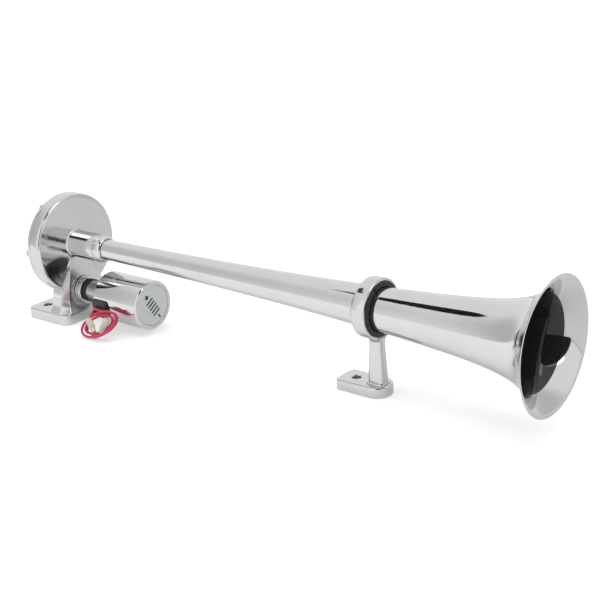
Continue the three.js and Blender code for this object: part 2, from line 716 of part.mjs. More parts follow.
// Plunger with its seal, spring and the fixed core that draws it
const sealPocket = PLUNGER_SEAL_RADIUS + GAP;
const plungerProfile = [
  [plungerSealFront + GAP, 0],
  [plungerSealFront + GAP, sealPocket],
  [noseBack, sealPocket],
  [noseBack, NOSE_RADIUS],
  [neckBack + GAP, NOSE_RADIUS],
  [neckBack + GAP, plungerRadius],
  [plungerFront, plungerRadius],
  [plungerFront, pocketRadius],
  [springBack - GAP, pocketRadius],
  [springBack - GAP, 0],
];
piece("plunger", revolve(plungerProfile, VALVE_HEIGHT, AROUND_SMALL), steel);
const plungerSealProfile = [
  [plungerSealBack, 0],
  [plungerSealBack, PLUNGER_SEAL_RADIUS],
  [plungerSealFront, PLUNGER_SEAL_RADIUS],
  [plungerSealFront, 0],
];
piece("plunger_seal", revolve(plungerSealProfile, VALVE_HEIGHT, 24), blackRubber);
class Helix extends THREE.Curve {
  getPoint(share, target = new THREE.Vector3()) {
    const angle = 2 * Math.PI * SPRING_TURNS * share;
    const length = SPRING_LENGTH - SPRING_WIRE;
    const x = springBack + SPRING_WIRE / 2 + length * share;
    const z = VALVE_HEIGHT + SPRING_RADIUS * Math.sin(angle);
    return target.set(x, SPRING_RADIUS * Math.cos(angle), z);
  }
}
const helix = new Helix();
piece("plunger_spring", solidOf(tube(helix, SPRING_WIRE, 8 * SPRING_TURNS, 5)), steel);
const coreProfile = [
  [coreBack + SPRING_POCKET_DEPTH, 0],
  [coreBack + SPRING_POCKET_DEPTH, pocketRadius],
  [coreBack, pocketRadius],
  [coreBack, plungerRadius],
  [neckFront, plungerRadius],
  [neckFront, CORE_SCREW_RADIUS + GAP],
  [endWallFront - CORE_SCREW_LENGTH - GAP, CORE_SCREW_RADIUS + GAP],
  [endWallFront - CORE_SCREW_LENGTH - GAP, 0],
];
piece("fixed_core", revolve(coreProfile, VALVE_HEIGHT, AROUND_SMALL), steel);

// Winding on its former, inside the can between the back plate and the end wall
const plateProfile = [
  [plateBack, NECK_RADIUS + GAP],
  [plateBack, bobbinRadius],
  [plateFront, bobbinRadius],
  [plateFront, NECK_RADIUS + GAP],
];
piece("back_plate", revolve(plateProfile, VALVE_HEIGHT, 32), steel);
const bobbinProfile = [
  [bobbinBack, bobbinBore],
  [bobbinBack, bobbinRadius],
  [bobbinBack + BOBBIN_FLANGE, bobbinRadius],
  [bobbinBack + BOBBIN_FLANGE, bobbinBore + BOBBIN_WALL],
  [bobbinFront - BOBBIN_FLANGE, bobbinBore + BOBBIN_WALL],
  [bobbinFront - BOBBIN_FLANGE, bobbinRadius],
  [bobbinFront, bobbinRadius],
  [bobbinFront, bobbinBore],
];
piece("coil_bobbin", revolve(bobbinProfile, VALVE_HEIGHT, 32), [0x1b1b1c, 0.5, 0]);
const windingProfile = [
  [bobbinBack + BOBBIN_FLANGE + GAP, windingInner],
  [bobbinBack + BOBBIN_FLANGE + GAP, windingOuter],
  [bobbinFront - BOBBIN_FLANGE - GAP, windingOuter],
  [bobbinFront - BOBBIN_FLANGE - GAP, windingInner],
];
piece("coil_winding", revolve(windingProfile, VALVE_HEIGHT, 32), [0xb4682c, 0.4, 1]);
const screwSeat = endWallFront - (CORE_SCREW_HEAD_RADIUS - CORE_SCREW_RADIUS);
const canProfile = [
  [CAN_BACK, canInnerRadius],
  [CAN_BACK, CAN_RADIUS - 0.4],
  [CAN_BACK + 0.4, CAN_RADIUS],
  [canFront - CAN_ROUNDING, CAN_RADIUS],
  [canFront - CAN_ROUNDING * 0.5, CAN_RADIUS - CAN_ROUNDING * 0.16],
  [canFront - CAN_ROUNDING * 0.16, CAN_RADIUS - CAN_ROUNDING * 0.5],
  [canFront, CAN_RADIUS - CAN_ROUNDING],
  [canFront, CAP_RADIUS + GAP],
  [endWallFront, CAP_RADIUS + GAP],
  [endWallFront, CORE_SCREW_HEAD_RADIUS + GAP],
  [screwSeat, CORE_SCREW_RADIUS + GAP],
  [endWallBack, CORE_SCREW_RADIUS + GAP],
  [endWallBack, canInnerRadius],
];
const windowBack = OUTLET_BACK + WINDOW_MARGIN;
const windowFront = OUTLET_BACK + OUTLET_LENGTH - WINDOW_MARGIN;
const windowBottom = OUTLET_BOTTOM + WINDOW_MARGIN;
const windowTop = OUTLET_BOTTOM + OUTLET_HEIGHT - WINDOW_MARGIN;
const opening = box(windowBack, windowFront, -CAN_RADIUS - 1, -10, windowBottom, windowTop);
piece("solenoid_can", revolve(canProfile, VALVE_HEIGHT).subtract(opening), chrome);
const capProfile = [
  [endWallFront + GAP, 0],
  [endWallFront + GAP, CAP_RADIUS],
  [canFront - CAP_RECESS, CAP_RADIUS],
  [canFront - CAP_RECESS, 0],
];
piece("can_cap", revolve(capProfile, VALVE_HEIGHT, 32), [0xc9ccc8, 0.4, 0.6]);
const coreScrewProfile = [
  [endWallFront - CORE_SCREW_LENGTH, 0],
  [endWallFront - CORE_SCREW_LENGTH, CORE_SCREW_RADIUS],
  [screwSeat, CORE_SCREW_RADIUS],
  [endWallFront, CORE_SCREW_HEAD_RADIUS],
  [endWallFront, 0],
];
piece("core_screw", revolve(coreScrewProfile, VALVE_HEIGHT, 20), steel);

// Outlet of the leads: a plug in the can's window under a rounded cover block
const outletFront = OUTLET_BACK + OUTLET_LENGTH;
const outletTop = OUTLET_BOTTOM + OUTLET_HEIGHT;
const outletShape = roundedRectangle(
  OUTLET_BACK,
  outletFront,
  OUTLET_BOTTOM,
  outletTop,
  OUTLET_BACK_CORNER,
  OUTLET_CORNER,
);
const outletOptions = { depth: OUTLET_FACE - OUTLET_ROOT, bevelEnabled: false, curveSegments: 5 };
const outletBlock = new THREE.ExtrudeGeometry(outletShape, outletOptions);
outletBlock.rotateX(Math.PI / 2).translate(0, -OUTLET_ROOT, 0);
const canRoom = (radius) =>
  rod(at(CAN_BACK - 10, 0, VALVE_HEIGHT), at(canFront, 0, VALVE_HEIGHT), radius, AROUND);
const outletPlug = box(
  windowBack + GAP,
  windowFront - GAP,
  -OUTLET_FACE + 0.5,
  -OUTLET_ROOT,
  windowBottom + GAP,
  windowTop - GAP,
).subtract(canRoom(canInnerRadius));
const outlet = solidOf(outletBlock).subtract(canRoom(CAN_RADIUS + GAP)).add(outletPlug);
piece("wire_outlet", outlet, [0x101011, 0.6, 0]);

// Leads: out of the block, round the loop, and into the sleeves
const loopCentre = at(50.8, -29.2, 10.5);
const loopAlong = at(0.815, 0.418, 0.402).normalize();
const loopFacing = at(0.171, -0.836, 0.522).normalize();
const loopAcross = new THREE.Vector3().crossVectors(loopFacing, loopAlong).normalize();
const exitX = OUTLET_BACK + EXIT_SETBACK;
const exitTop = outletTop - EXIT_DROP;
function loopPoint(degrees, turned, halfLength, halfWidth) {
  const angle = THREE.MathUtils.degToRad(degrees);
  return loopCentre
    .clone()
    .addScaledVector(loopAlong, halfLength * Math.cos(angle))
    .addScaledVector(loopAcross, halfWidth * Math.sin(angle))
    .addScaledVector(loopFacing, (LOOP_PITCH * turned) / 360);
}
function leadCurve({ exitZ, before, start, turn, halves, after, sleeve }) {
  const [sleeveStart, sleeveTip] = sleeve;
  const points = [
    at(exitX, -OUTLET_FACE - GAP, exitZ),
    at(exitX, -OUTLET_FACE - GAP - LEAD_DIAMETER * 0.35, exitZ),
    ...before,
  ];
  const count = Math.round(Math.abs(turn) / 15);
  for (let i = 0; i <= count; i++) {
    const turned = (Math.abs(turn) * i) / count;
    points.push(loopPoint(start + (turn * i) / count, turned, ...halves));
  }
  const heading = new THREE.Vector3().subVectors(sleeveTip, sleeveStart).normalize();
  points.push(...after);
  points.push(sleeveStart.clone().addScaledVector(heading, -LEAD_DIAMETER));
  points.push(sleeveStart.clone().addScaledVector(heading, 1.2));
  return new THREE.CatmullRomCurve3(points, false, "centripetal");
}
const sleeves = {
  a: [at(54, -38.7, 7.9), at(44, -35.1, 16.5)],
  b: [at(57.5, -36.1, 7), at(60.1, -29.8, 16.7)],
};
const curves = {
  a: leadCurve({
    exitZ: exitTop,
    before: [at(41.1, -24.7, 20.7), at(42.5, -24.8, 20.5)],
    start: 59.1,
    turn: -461.8,
    halves: [OUTER_HALF_LENGTH, OUTER_HALF_WIDTH],
    after: [at(63, -37, 8.2), at(61.8, -39.4, 7.3), at(57.9, -40.5, 6.5)],
    sleeve: sleeves.a,
  }),
  b: leadCurve({
    exitZ: exitTop - EXIT_SPACING,
    before: [at(39.1, -25.8, 17.3)],
    start: 158.4,
    turn: 434.3,
    halves: [INNER_HALF_LENGTH, INNER_HALF_WIDTH],
    after: [at(52.3, -38.1, 3.5), at(54.1, -38.3, 3.6)],
    sleeve: sleeves.b,
  }),
};
const sleeveNeck = SLEEVE_LENGTH * 0.3;
for (const key of ["a", "b"]) {
  const curve = curves[key];
  piece(`lead_${key}`, solidOf(tube(curve, LEAD_DIAMETER, LEAD_STEPS, 8)), [0xb3213f, 0.45, 0]);
  console.log(`lead_${key} length`, curve.getLength().toFixed(1));
  console.log(`lead_${key} least gap`, leastGap(curve, LEAD_DIAMETER).toFixed(2));
  const [start, tip] = sleeves[key];
  const turn = new THREE.Quaternion().setFromUnitVectors(
    at(1, 0, 0),
    new THREE.Vector3().subVectors(tip, start).normalize(),
  );
  const place = (geometry) =>
    solidOf(geometry.applyQuaternion(turn).translate(start.x, start.y, start.z));
  const sleeveProfile = [
    [0, SLEEVE_NECK_RADIUS - SLEEVE_WALL],
    [0, SLEEVE_NECK_RADIUS],
    [sleeveNeck - 0.6, SLEEVE_NECK_RADIUS],
    [sleeveNeck + 0.6, SLEEVE_RADIUS],
    [SLEEVE_LENGTH, SLEEVE_RADIUS],
    [SLEEVE_LENGTH, SLEEVE_RADIUS - SLEEVE_WALL],
    [sleeveNeck + 0.4, SLEEVE_RADIUS - SLEEVE_WALL],
    [sleeveNeck - 0.6, SLEEVE_NECK_RADIUS - SLEEVE_WALL],
    [0, SLEEVE_NECK_RADIUS - SLEEVE_WALL],
  ];
  const sleevePoints = sleeveProfile.map(([x, r]) => new THREE.Vector2(r, x));
  const sleeveShape = new THREE.LatheGeometry(sleevePoints, 14).rotateZ(-Math.PI / 2);
  piece(`sleeve_${key}`, place(sleeveShape), [0xe4dcc8, 0.4, 0]);
  const halfWidth = TERMINAL_WIDTH / 2;
  const halfThickness = TERMINAL_THICKNESS / 2;
  const rolled = roundedRectangle(
    -halfWidth,
    halfWidth,
    -halfThickness,
    halfThickness,
    0.4,
    0.4,
  );
  const inner = new THREE.Path();
  const holeWidth = halfWidth - TERMINAL_WALL;
  const holeHeight = halfThickness - TERMINAL_WALL;
  inner.moveTo(-holeWidth, -holeHeight);
  inner.lineTo(-holeWidth, holeHeight);
  inner.lineTo(holeWidth, holeHeight);
  inner.lineTo(holeWidth, -holeHeight);
  inner.closePath();
  rolled.holes.push(inner);
  const receptacleStart = sleeveNeck + 0.6;
  const receptacleLength = SLEEVE_LENGTH - receptacleStart - 1.2;
  const receptacleOptions = { depth: receptacleLength, bevelEnabled: false, curveSegments: 2 };
  const receptacle = new THREE.ExtrudeGeometry(rolled, receptacleOptions);
  receptacle.rotateY(Math.PI / 2).translate(receptacleStart, 0, 0);
  const barrelLength = receptacleStart + 0.8 - 1.5;
  const barrel = new THREE.CylinderGeometry(BARREL_RADIUS, BARREL_RADIUS, barrelLength, 12);
  barrel.rotateZ(-Math.PI / 2).translate(1.5 + barrelLength / 2, 0, 0);
  piece(`terminal_${key}`, place(receptacle).add(place(barrel)), [0xc8c4b4, 0.3, 1]);
}
console.log("spring least gap", leastGap(helix, SPRING_WIRE).toFixed(2));

// Rubber liner: a split strip that fills the ring round the trumpet's cone
const ringFront = bracketBack + RING_WIDTH;
const linerBack = bracketBack - LINER_OVERHANG;
const linerFront = ringFront + LINER_OVERHANG;
const ringInner = hornRadius(linerFront) + GAP + LINER_THICKNESS + GAP;
const ringRadius = ringInner + RING_WALL;
const linerProfile = [
  [linerBack, hornRadius(linerBack) + GAP],
  [linerBack, ringInner - GAP],
  [linerFront - 0.6, ringInner - GAP],
  [linerFront, ringInner - GAP - 0.6],
  [linerFront, hornRadius(linerFront) + GAP],
];
const splitAngle = THREE.MathUtils.degToRad(LINER_SPLIT_ANGLE);
const splitBox = new THREE.BoxGeometry(RING_WIDTH + 4, ringRadius, LINER_SPLIT)
  .translate((linerBack + linerFront) / 2, ringRadius / 2 + 5, 0)
  .rotateX(splitAngle)
  .translate(0, 0, AXIS_HEIGHT);
const liner = revolve(linerProfile, AXIS_HEIGHT).subtract(solidOf(splitBox));
piece("bracket_liner", liner, blackRubber);

// Front bracket: ring, pillar, plinth and shoe in one casting
const ringMiddle = (bracketBack + ringFront) / 2;
const ringProfile = [
  [bracketBack, ringInner],
  [bracketBack, ringRadius - 1.2],
  [bracketBack + 1.4, ringRadius],
  [ringFront - 0.5, ringRadius],
  [ringFront, ringRadius - 0.5],
  [ringFront, ringInner],
];
function pillarSection(z) {
  const top = AXIS_HEIGHT - ringInner;
  const share = (top - z) / (top - SHOE_THICKNESS);
  const nearRing = Math.max(0, 1 - (top - z) / 5) ** 2;
  const half = PILLAR_LENGTH / 2 + (PILLAR_SPREAD / 2) * share + 0.7 * nearRing;
  const halfWidth = PILLAR_WIDTH / 2 + (PILLAR_SPREAD / 2) * share + 4 * nearRing;
  const corner = Math.min(PILLAR_ROUNDING, half - 0.2, halfWidth - 0.2);
  const outline = roundedRectangle(-half, half, -halfWidth, halfWidth, corner, corner);
  return outline.getPoints(4).map((p) => [ringMiddle + 1 + p.x, p.y, z]);
}
const pillarRings = [];
const PILLAR_RINGS = 8;
const pillarTop = AXIS_HEIGHT - ringInner - 0.4;
for (let i = 0; i <= PILLAR_RINGS; i++) {
  const share = (i / PILLAR_RINGS) ** 0.6;
  const z = SHOE_THICKNESS - 0.4 + (pillarTop - SHOE_THICKNESS + 0.4) * share;
  const ring = pillarSection(z);
  pillarRings.push(ring.filter((p, j) => j === 0 || j < ring.length - 1));
}
const plinthHalf = (PILLAR_LENGTH + PILLAR_SPREAD) / 2 + PLINTH_MARGIN;
const plinthHalfWidth = (PILLAR_WIDTH + PILLAR_SPREAD) / 2 + PLINTH_MARGIN;
const plinthShape = roundedRectangle(
  ringMiddle + 1 - plinthHalf,
  ringMiddle + 1 + plinthHalf,
  -plinthHalfWidth,
  plinthHalfWidth,
  PILLAR_ROUNDING,
  PILLAR_ROUNDING,
);
const shoeFront = ringMiddle + 1 + SHOE_HALF_WIDTH - 1.4;
const shoeShape = roundedRectangle(
  ringMiddle - SHOE_TOE + 1,
  shoeFront,
  -SHOE_HALF_WIDTH,
  SHOE_HALF_WIDTH,
  SHOE_TOE_CORNER,
  SHOE_HALF_WIDTH - 1,
);
const shoeHole = new THREE.Path();
const shoeHoleX = ringMiddle + 1 - SHOE_HOLE_SETBACK;
shoeHole.absarc(shoeHoleX, 0, SHOE_HOLE_RADIUS, 0, 2 * Math.PI);
shoeShape.holes.push(shoeHole);
const ringRoom = revolve(
  [
    [bracketBack - 5, 0],
    [bracketBack - 5, ringInner],
    [ringFront + 5, ringInner],
    [ringFront + 5, 0],
  ],
  AXIS_HEIGHT,
);
const bracket = revolve(ringProfile, AXIS_HEIGHT)
  .add(loft(pillarRings))
  .add(plateOf(plinthShape, SHOE_THICKNESS - 0.4, SHOE_THICKNESS + PLINTH_HEIGHT, 3))
  .add(plateOf(shoeShape, 0, SHOE_THICKNESS))
  .subtract(ringRoom);
piece("front_bracket", bracket, castChrome);

// The origin lies on the floor under the middle of the whole length
const lastBack = Math.min(screwBack - SCREW_HEAD_HEIGHT, domeBack, -FOOT_BACK);
group.position.x = -(HORN_LENGTH + lastBack) / 2;

export default group;
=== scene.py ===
"""Single trumpet air horn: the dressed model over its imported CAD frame."""

import math

import bmesh
import bpy
from mathutils import Matrix, Vector


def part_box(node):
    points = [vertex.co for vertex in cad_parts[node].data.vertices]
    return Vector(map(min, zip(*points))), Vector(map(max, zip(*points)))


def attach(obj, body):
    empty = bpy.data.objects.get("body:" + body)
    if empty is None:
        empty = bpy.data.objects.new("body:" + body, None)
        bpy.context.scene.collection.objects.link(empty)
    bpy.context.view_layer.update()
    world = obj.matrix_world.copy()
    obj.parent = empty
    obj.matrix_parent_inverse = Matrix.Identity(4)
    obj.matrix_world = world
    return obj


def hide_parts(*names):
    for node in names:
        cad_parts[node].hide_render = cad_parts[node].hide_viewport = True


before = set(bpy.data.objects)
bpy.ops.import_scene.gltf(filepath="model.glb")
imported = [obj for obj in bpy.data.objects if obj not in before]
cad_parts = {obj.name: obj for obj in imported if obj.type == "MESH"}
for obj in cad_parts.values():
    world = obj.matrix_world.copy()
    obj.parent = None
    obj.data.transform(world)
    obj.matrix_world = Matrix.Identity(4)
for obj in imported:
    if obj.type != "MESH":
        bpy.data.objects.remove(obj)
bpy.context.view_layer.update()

# Camera: it looks at the horn from its front right and a little above,
# with a lens a little longer than normal.
camera_data = bpy.data.cameras.new("photo_camera")
camera_data.lens = 71.01
camera_data.sensor_width = 36
camera = bpy.data.objects.new("photo_camera", camera_data)
camera.matrix_world = Matrix(
    (
        (0.78704, -0.17709, 0.59094, 0.54364),
        (0.61479, 0.3044, -0.72758, -0.61839),
        (-0.05104, 0.93594, 0.34845, 0.34836),
        (0, 0, 0, 1),
    )
)
bpy.context.scene.collection.objects.link(camera)
bpy.context.scene.camera = camera

# Leads: two limp wires of 2 mm over their insulation, which leave the black outlet of the
# solenoid, lie round a small oval loop that leans on it, and end in push-on terminals.
# Sizes are in millimetres from the flat front face of the sound housing's drum.
horn_length = 430
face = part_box("bell")[1][0] - horn_length / 1000
to_frame = Matrix.Translation((face, 0, 0)) @ Matrix.Scale(0.001, 4)
lead_width = 2
outlet_along, outlet_face = 38.5, -22.1
turn_pitch = 2.7
knot_step = 15
loop_centre = Vector((50.8, -29.2, 10.5))
loop_along = Vector((0.815, 0.418, 0.402)).normalized()
loop_facing = Vector((0.171, -0.836, 0.522)).normalized()
loop_across = loop_facing.cross(loop_along).normalized()


class Level:
    """A value in a material's nodes, which adds and multiplies like a number."""

    def __init__(self, finish, socket):
        self.finish = finish
        self.socket = socket

    def maths(self, operation, *values):
        return self.finish.node("ShaderNodeMath", values, operation=operation)

    def __add__(self, other):
        return self.maths("ADD", self, other)

    def __mul__(self, other):
        return self.maths("MULTIPLY", self, other)

    def __gt__(self, other):
        return self.maths("GREATER_THAN", self, other)

    def __rsub__(self, other):
        return self.maths("SUBTRACT", other, self)

    __radd__ = __add__
    __rmul__ = __mul__


class Finish:
    """A surface finish: one Principled shader and the nodes that feed it."""

    def __init__(self, name, **fixed):
        self.material = bpy.data.materials.new(name)
        self.material.use_nodes = True
        self.tree = self.material.node_tree
        self.shader = self.tree.nodes["Principled BSDF"]
        for key, value in fixed.items():
            self.give(key.replace("_", " ").title().replace("Ior", "IOR"), value)

    def feed(self, socket, value):
        if isinstance(value, Level):
            self.tree.links.new(value.socket, socket)
        else:
            socket.default_value = value

    def give(self, name, value):
        self.feed(self.shader.inputs[name], value)

    def node(self, kind, values=(), output=0, **settings):
        made = self.tree.nodes.new(kind)
        for key, value in settings.items():
            setattr(made, key, value)
        pairs = values.items() if isinstance(values, dict) else enumerate(values)
        for key, value in pairs:
            self.feed(made.inputs[key], value)
        return Level(self, made.outputs[output])

    def place(self, scale=(1, 1, 1), location=(0, 0, 0), rotation=(0, 0, 0)):
        where = self.node("ShaderNodeTexCoord", output="Object")
        values = {"Vector": where, "Scale": scale, "Location": location, "Rotation": rotation}
        return self.node("ShaderNodeMapping", values)

    def noise(self, where, scale, detail=2):
        values = {"Vector": where, "Scale": scale, "Detail": detail}
        return self.node("ShaderNodeTexNoise", values, output="Fac")

    def between(self, share, low, high):
        mix = {0: share, 6: (*low, 1), 7: (*high, 1)}
        return self.node("ShaderNodeMix", mix, output=2, data_type="RGBA")

    def bump(self, height, depth, strength=1):
        values = {"Height": height, "Distance": depth, "Strength": strength}
        self.give("Normal", self.node("ShaderNodeBump", values))


def put(data, node, finish, body="root"):
    """Make a piece of its data, with its material, in place of the CAD node of its name."""
    made = bpy.data.objects.new(f"horn_{node}", data)
    bpy.context.scene.collection.objects.link(made)
    data.materials.append(finish.material)
    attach(made, body)
    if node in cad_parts:
        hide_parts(node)
    return made


red_insulation = Finish("red_insulation", coat_weight=0.25, coat_roughness=0.15)
grain = red_insulation.noise(red_insulation.place(), 900, 3)
dye = red_insulation.between(grain, (0.5, 0.018, 0.07), (0.72, 0.06, 0.15))
red_insulation.give("Base Color", dye)
red_insulation.give("Roughness", grain * 0.2 + 0.25)
red_insulation.bump(grain, 0.00004)


def loop_point(degrees, turned, halves):
    angle = math.radians(degrees)
    point = loop_centre + loop_along * halves[0] * math.cos(angle)
    point += loop_across * halves[1] * math.sin(angle)
    return point + loop_facing * turn_pitch * turned / 360


def lead(name, exit_height, before, start, turn, halves, after, sleeve):
    heading = (sleeve[1] - sleeve[0]).normalized()
    points = [Vector((outlet_along, outlet_face - out, exit_height)) for out in (0, 0.7)]
    points += [Vector(point) for point in before]
    count = round(abs(turn) / knot_step)
    for i in range(count + 1):
        points.append(loop_point(start + turn * i / count, abs(turn) * i / count, halves))
    points += [Vector(point) for point in after]
    points += [sleeve[0] - heading * lead_width, sleeve[0] + heading * 1.2]
    curve = bpy.data.curves.new(name, "CURVE")
    curve.dimensions = "3D"
    curve.resolution_u = 8
    curve.bevel_depth = lead_width / 2000
    curve.bevel_resolution = 5
    curve.use_fill_caps = True
    spline = curve.splines.new("BEZIER")
    spline.bezier_points.add(len(points) - 1)
    for knot, point in zip(spline.bezier_points, points):
        knot.co = to_frame @ point
        knot.handle_left_type = knot.handle_right_type = "AUTO"
    return put(curve, name, red_insulation)


sleeve_a = (Vector((54, -38.7, 7.9)), Vector((44, -35.1, 16.5)))
sleeve_b = (Vector((57.5, -36.1, 7)), Vector((60.1, -29.8, 16.7)))
lead_a = lead(
    "lead_a",
    exit_height=20.5,
    before=[(41.1, -24.7, 20.7), (42.5, -24.8, 20.5)],
    start=59.1,
    turn=-461.8,
    halves=(16.3, 8.9),
    after=[(63, -37, 8.2), (61.8, -39.4, 7.3), (57.9, -40.5, 6.5)],
    sleeve=sleeve_a,
)
lead_b = lead(
    "lead_b",
    exit_height=17.5,
    before=[(39.1, -25.8, 17.3)],
    start=158.4,
    turn=434.3,
    halves=(12.3, 6.4),
    after=[(52.3, -38.1, 3.5), (54.1, -38.3, 3.6)],
    sleeve=sleeve_b,
)

# Terminals: push-on receptacles rolled from thin tinned brass, crimped on the bare ends
# of the leads with a narrower barrel.
tinned_brass = Finish("tinned_brass", metallic=1)
tarnish = tinned_brass.noise(tinned_brass.place(), 700, 4)
tin = tinned_brass.between(tarnish, (0.55, 0.5, 0.4), (0.74, 0.71, 0.62))
tinned_brass.give("Base Color", tin)
tinned_brass.give("Roughness", tarnish * 0.25 + 0.2)
tinned_brass.bump(tarnish, 0.00003)


def rounded(bm, geom, offset, segments, affect="EDGES", **more):
    """Bevel corners or edges to a round of so many steps."""
    bmesh.ops.bevel(
        bm,
        geom=geom,
        offset=offset,
        offset_type="OFFSET",
        segments=segments,
        profile=0.5,
        affect=affect,
        material=-1,
        **more,
    )


def turned(bm, profile, height=0, steps=128, closed=True, along=None):
    """Spin a profile of (x, radius, rounding) about the X axis at a height.

    With along, a (start, tip) pair, the axis runs from start towards tip instead.
    """
    kept = set(bm.verts)
    verts = [bm.verts.new((point[0], 0, height + point[1])) for point in profile]
    for pair in zip(verts, verts[1:]):
        bm.edges.new(pair)
    if closed:
        bm.edges.new((verts[-1], verts[0]))
    for vert, point in zip(verts, profile):
        if len(point) > 2:
            rounded(bm, [vert], point[2], 5, "VERTICES")
    wire = [v for v in bm.verts if v not in kept]
    rim = list({e for v in wire for e in v.link_edges})
    bmesh.ops.spin(
        bm,
        geom=wire + rim,
        cent=(0, 0, height),
        axis=(1, 0, 0),
        angle=2 * math.pi,
        steps=steps,
        use_merge=True,
    )
    made = [v for v in bm.verts if v not in kept]
    if along:
        start, tip = along
        turn = (tip - start).to_track_quat("X", "Z").to_matrix().to_4x4()
        bmesh.ops.transform(bm, matrix=Matrix.Translation(start) @ turn, verts=made)
    return made


seam = 0.0008


def piece(bm, node, finish, body="root", sharp=32):
    """Close the seams of a mesh in millimetres, and put it into the frame as an object."""
    bmesh.ops.remove_doubles(bm, verts=bm.verts, dist=seam)
    bmesh.ops.recalc_face_normals(bm, faces=bm.faces)
    bmesh.ops.transform(bm, matrix=to_frame, verts=bm.verts)
    mesh = bpy.data.meshes.new(node)
    bm.to_mesh(mesh)
    bm.free()
    mesh.shade_smooth()
    mesh.set_sharp_from_angle(angle=math.radians(sharp))
    return put(mesh, node, finish, body)


def slab(bm, low, high, corners, z0, z1, edge=0.0, segments=4):
    """An upright plate between two (x, y) corners and two heights.

    It takes a radius for each upright corner, and one for the edge of its top.
    """
    kept = set(bm.verts)
    outline = [(low[0], low[1]), (high[0], low[1]), (high[0], high[1]), (low[0], high[1])]
    verts = [bm.verts.new((x, y, z0)) for x, y in outline]
    bm.faces.new(verts)
    for vert, corner in zip(verts, corners):
        rounded(bm, [vert], corner, 10, "VERTICES")
    base = [f for f in bm.faces if not set(f.verts) & kept]
    raised = bmesh.ops.extrude_face_region(bm, geom=base)["geom"]
    top = [v for v in raised if isinstance(v, bmesh.types.BMVert)]
    bmesh.ops.translate(bm, verts=top, vec=(0, 0, z1 - z0))
    bmesh.ops.reverse_faces(bm, faces=base)
    if edge:
        rim = [e for v in top for e in v.link_edges if all(u in top for u in e.verts)]
        rounded(bm, list(set(rim)), edge, segments)
    return [v for v in bm.verts if v not in kept]


barrel = [(1.5, 0.75), (1.5, 1.1, 0.15), (5.3, 1.1), (5.3, 0.75)]
tab_back, tab_tip = 4.5, 11.8
tab_wall, tab_depth = 0.35, 6.4
for key, (start, tip) in {"a": sleeve_a, "b": sleeve_b}.items():
    turn = (tip - start).to_track_quat("X", "Z").to_matrix().to_4x4()
    bm = bmesh.new()
    turned(bm, barrel, steps=32, along=(start, tip))
    shell = slab(bm, (-1.7, -0.75), (1.7, 0.75), [0.55] * 4, tab_back, tab_tip)
    ends = [f for f in bm.faces if f.verts[0] in shell and abs(f.normal.z) > 0.9]
    opened = [f for f in ends if f.calc_center_median().z > 11]
    bmesh.ops.inset_individual(bm, faces=opened, thickness=tab_wall)
    pressed = bmesh.ops.extrude_face_region(bm, geom=opened)["geom"]
    sunk = [v for v in pressed if isinstance(v, bmesh.types.BMVert)]
    bmesh.ops.translate(bm, verts=sunk, vec=(0, 0, -tab_depth))
    bmesh.ops.delete(bm, geom=opened, context="FACES_ONLY")
    added = [v for v in bm.verts if v.co.z > 4 and abs(v.co.x) < 2 and abs(v.co.y) < 1]
    shell = list({v for v in [*shell, *sunk, *added] if v.is_valid})
    swing = Matrix.Rotation(math.pi / 2, 4, "Y") @ Matrix.Rotation(math.pi / 2, 4, "Z")
    bmesh.ops.transform(bm, matrix=Matrix.Translation(start) @ turn @ swing, verts=shell)
    piece(bm, f"terminal_{key}", tinned_brass)

# Sleeves: covers of soft translucent plastic, drawn over the lead and its terminal. They
# are open at the tip.
clear_sleeve = Finish("clear_sleeve", ior=1.45, coat_weight=0.3, coat_roughness=0.2)
cloud = clear_sleeve.noise(clear_sleeve.place(), 350, 4)
milk = clear_sleeve.between(cloud, (0.7, 0.62, 0.5), (0.88, 0.84, 0.75))
clear_sleeve.give("Base Color", milk)
clear_sleeve.give("Roughness", cloud * 0.2 + 0.25)
clear_sleeve.give("Alpha", cloud * 0.25 + 0.62)
clear_sleeve.bump(cloud, 0.0001)
for key, ends in {"a": sleeve_a, "b": sleeve_b}.items():
    bm = bmesh.new()
    outside = [(0, 1.9, 0.2), (3.3, 1.9, 0.6), (4.5, 2.6, 0.8), (13, 2.6, 0.2)]
    inside = [(13, 2.15, 0.2), (4.3, 2.15, 0.8), (3.3, 1.45, 0.6), (0, 1.45, 0.2)]
    turned(bm, outside + inside, steps=48, along=ends)
    piece(bm, f"sleeve_{key}", clear_sleeve)

# Outlet of the leads: a black moulding let into a window of the solenoid's can. Its face
# has rounded corners, and a low collar round each lead.
black_plastic = Finish("black_plastic")
grain = black_plastic.noise(black_plastic.place(), 2500, 3)
moulded = black_plastic.between(grain, (0.012, 0.012, 0.013), (0.03, 0.03, 0.032))
black_plastic.give("Base Color", moulded)
black_plastic.give("Roughness", grain * 0.2 + 0.38)
black_plastic.bump(grain, 0.00002)
bm = bmesh.new()
block = slab(bm, (34.9, 12.6), (50.2, 26.8), [1.2, 3, 3, 1.2], 15, 21.8, edge=0.9)
bmesh.ops.transform(bm, matrix=Matrix.Rotation(math.pi / 2, 4, "X"), verts=block)
for height in (17.5, 20.5):
    collar = [Vector((outlet_along, face_y, height)) for face_y in (-21.5, outlet_face)]
    turned(bm, [(0, 0.9), (0, 1.6), (0.45, 1.5, 0.2), (0.45, 0.9)], steps=32, along=collar)
piece(bm, "wire_outlet", black_plastic)

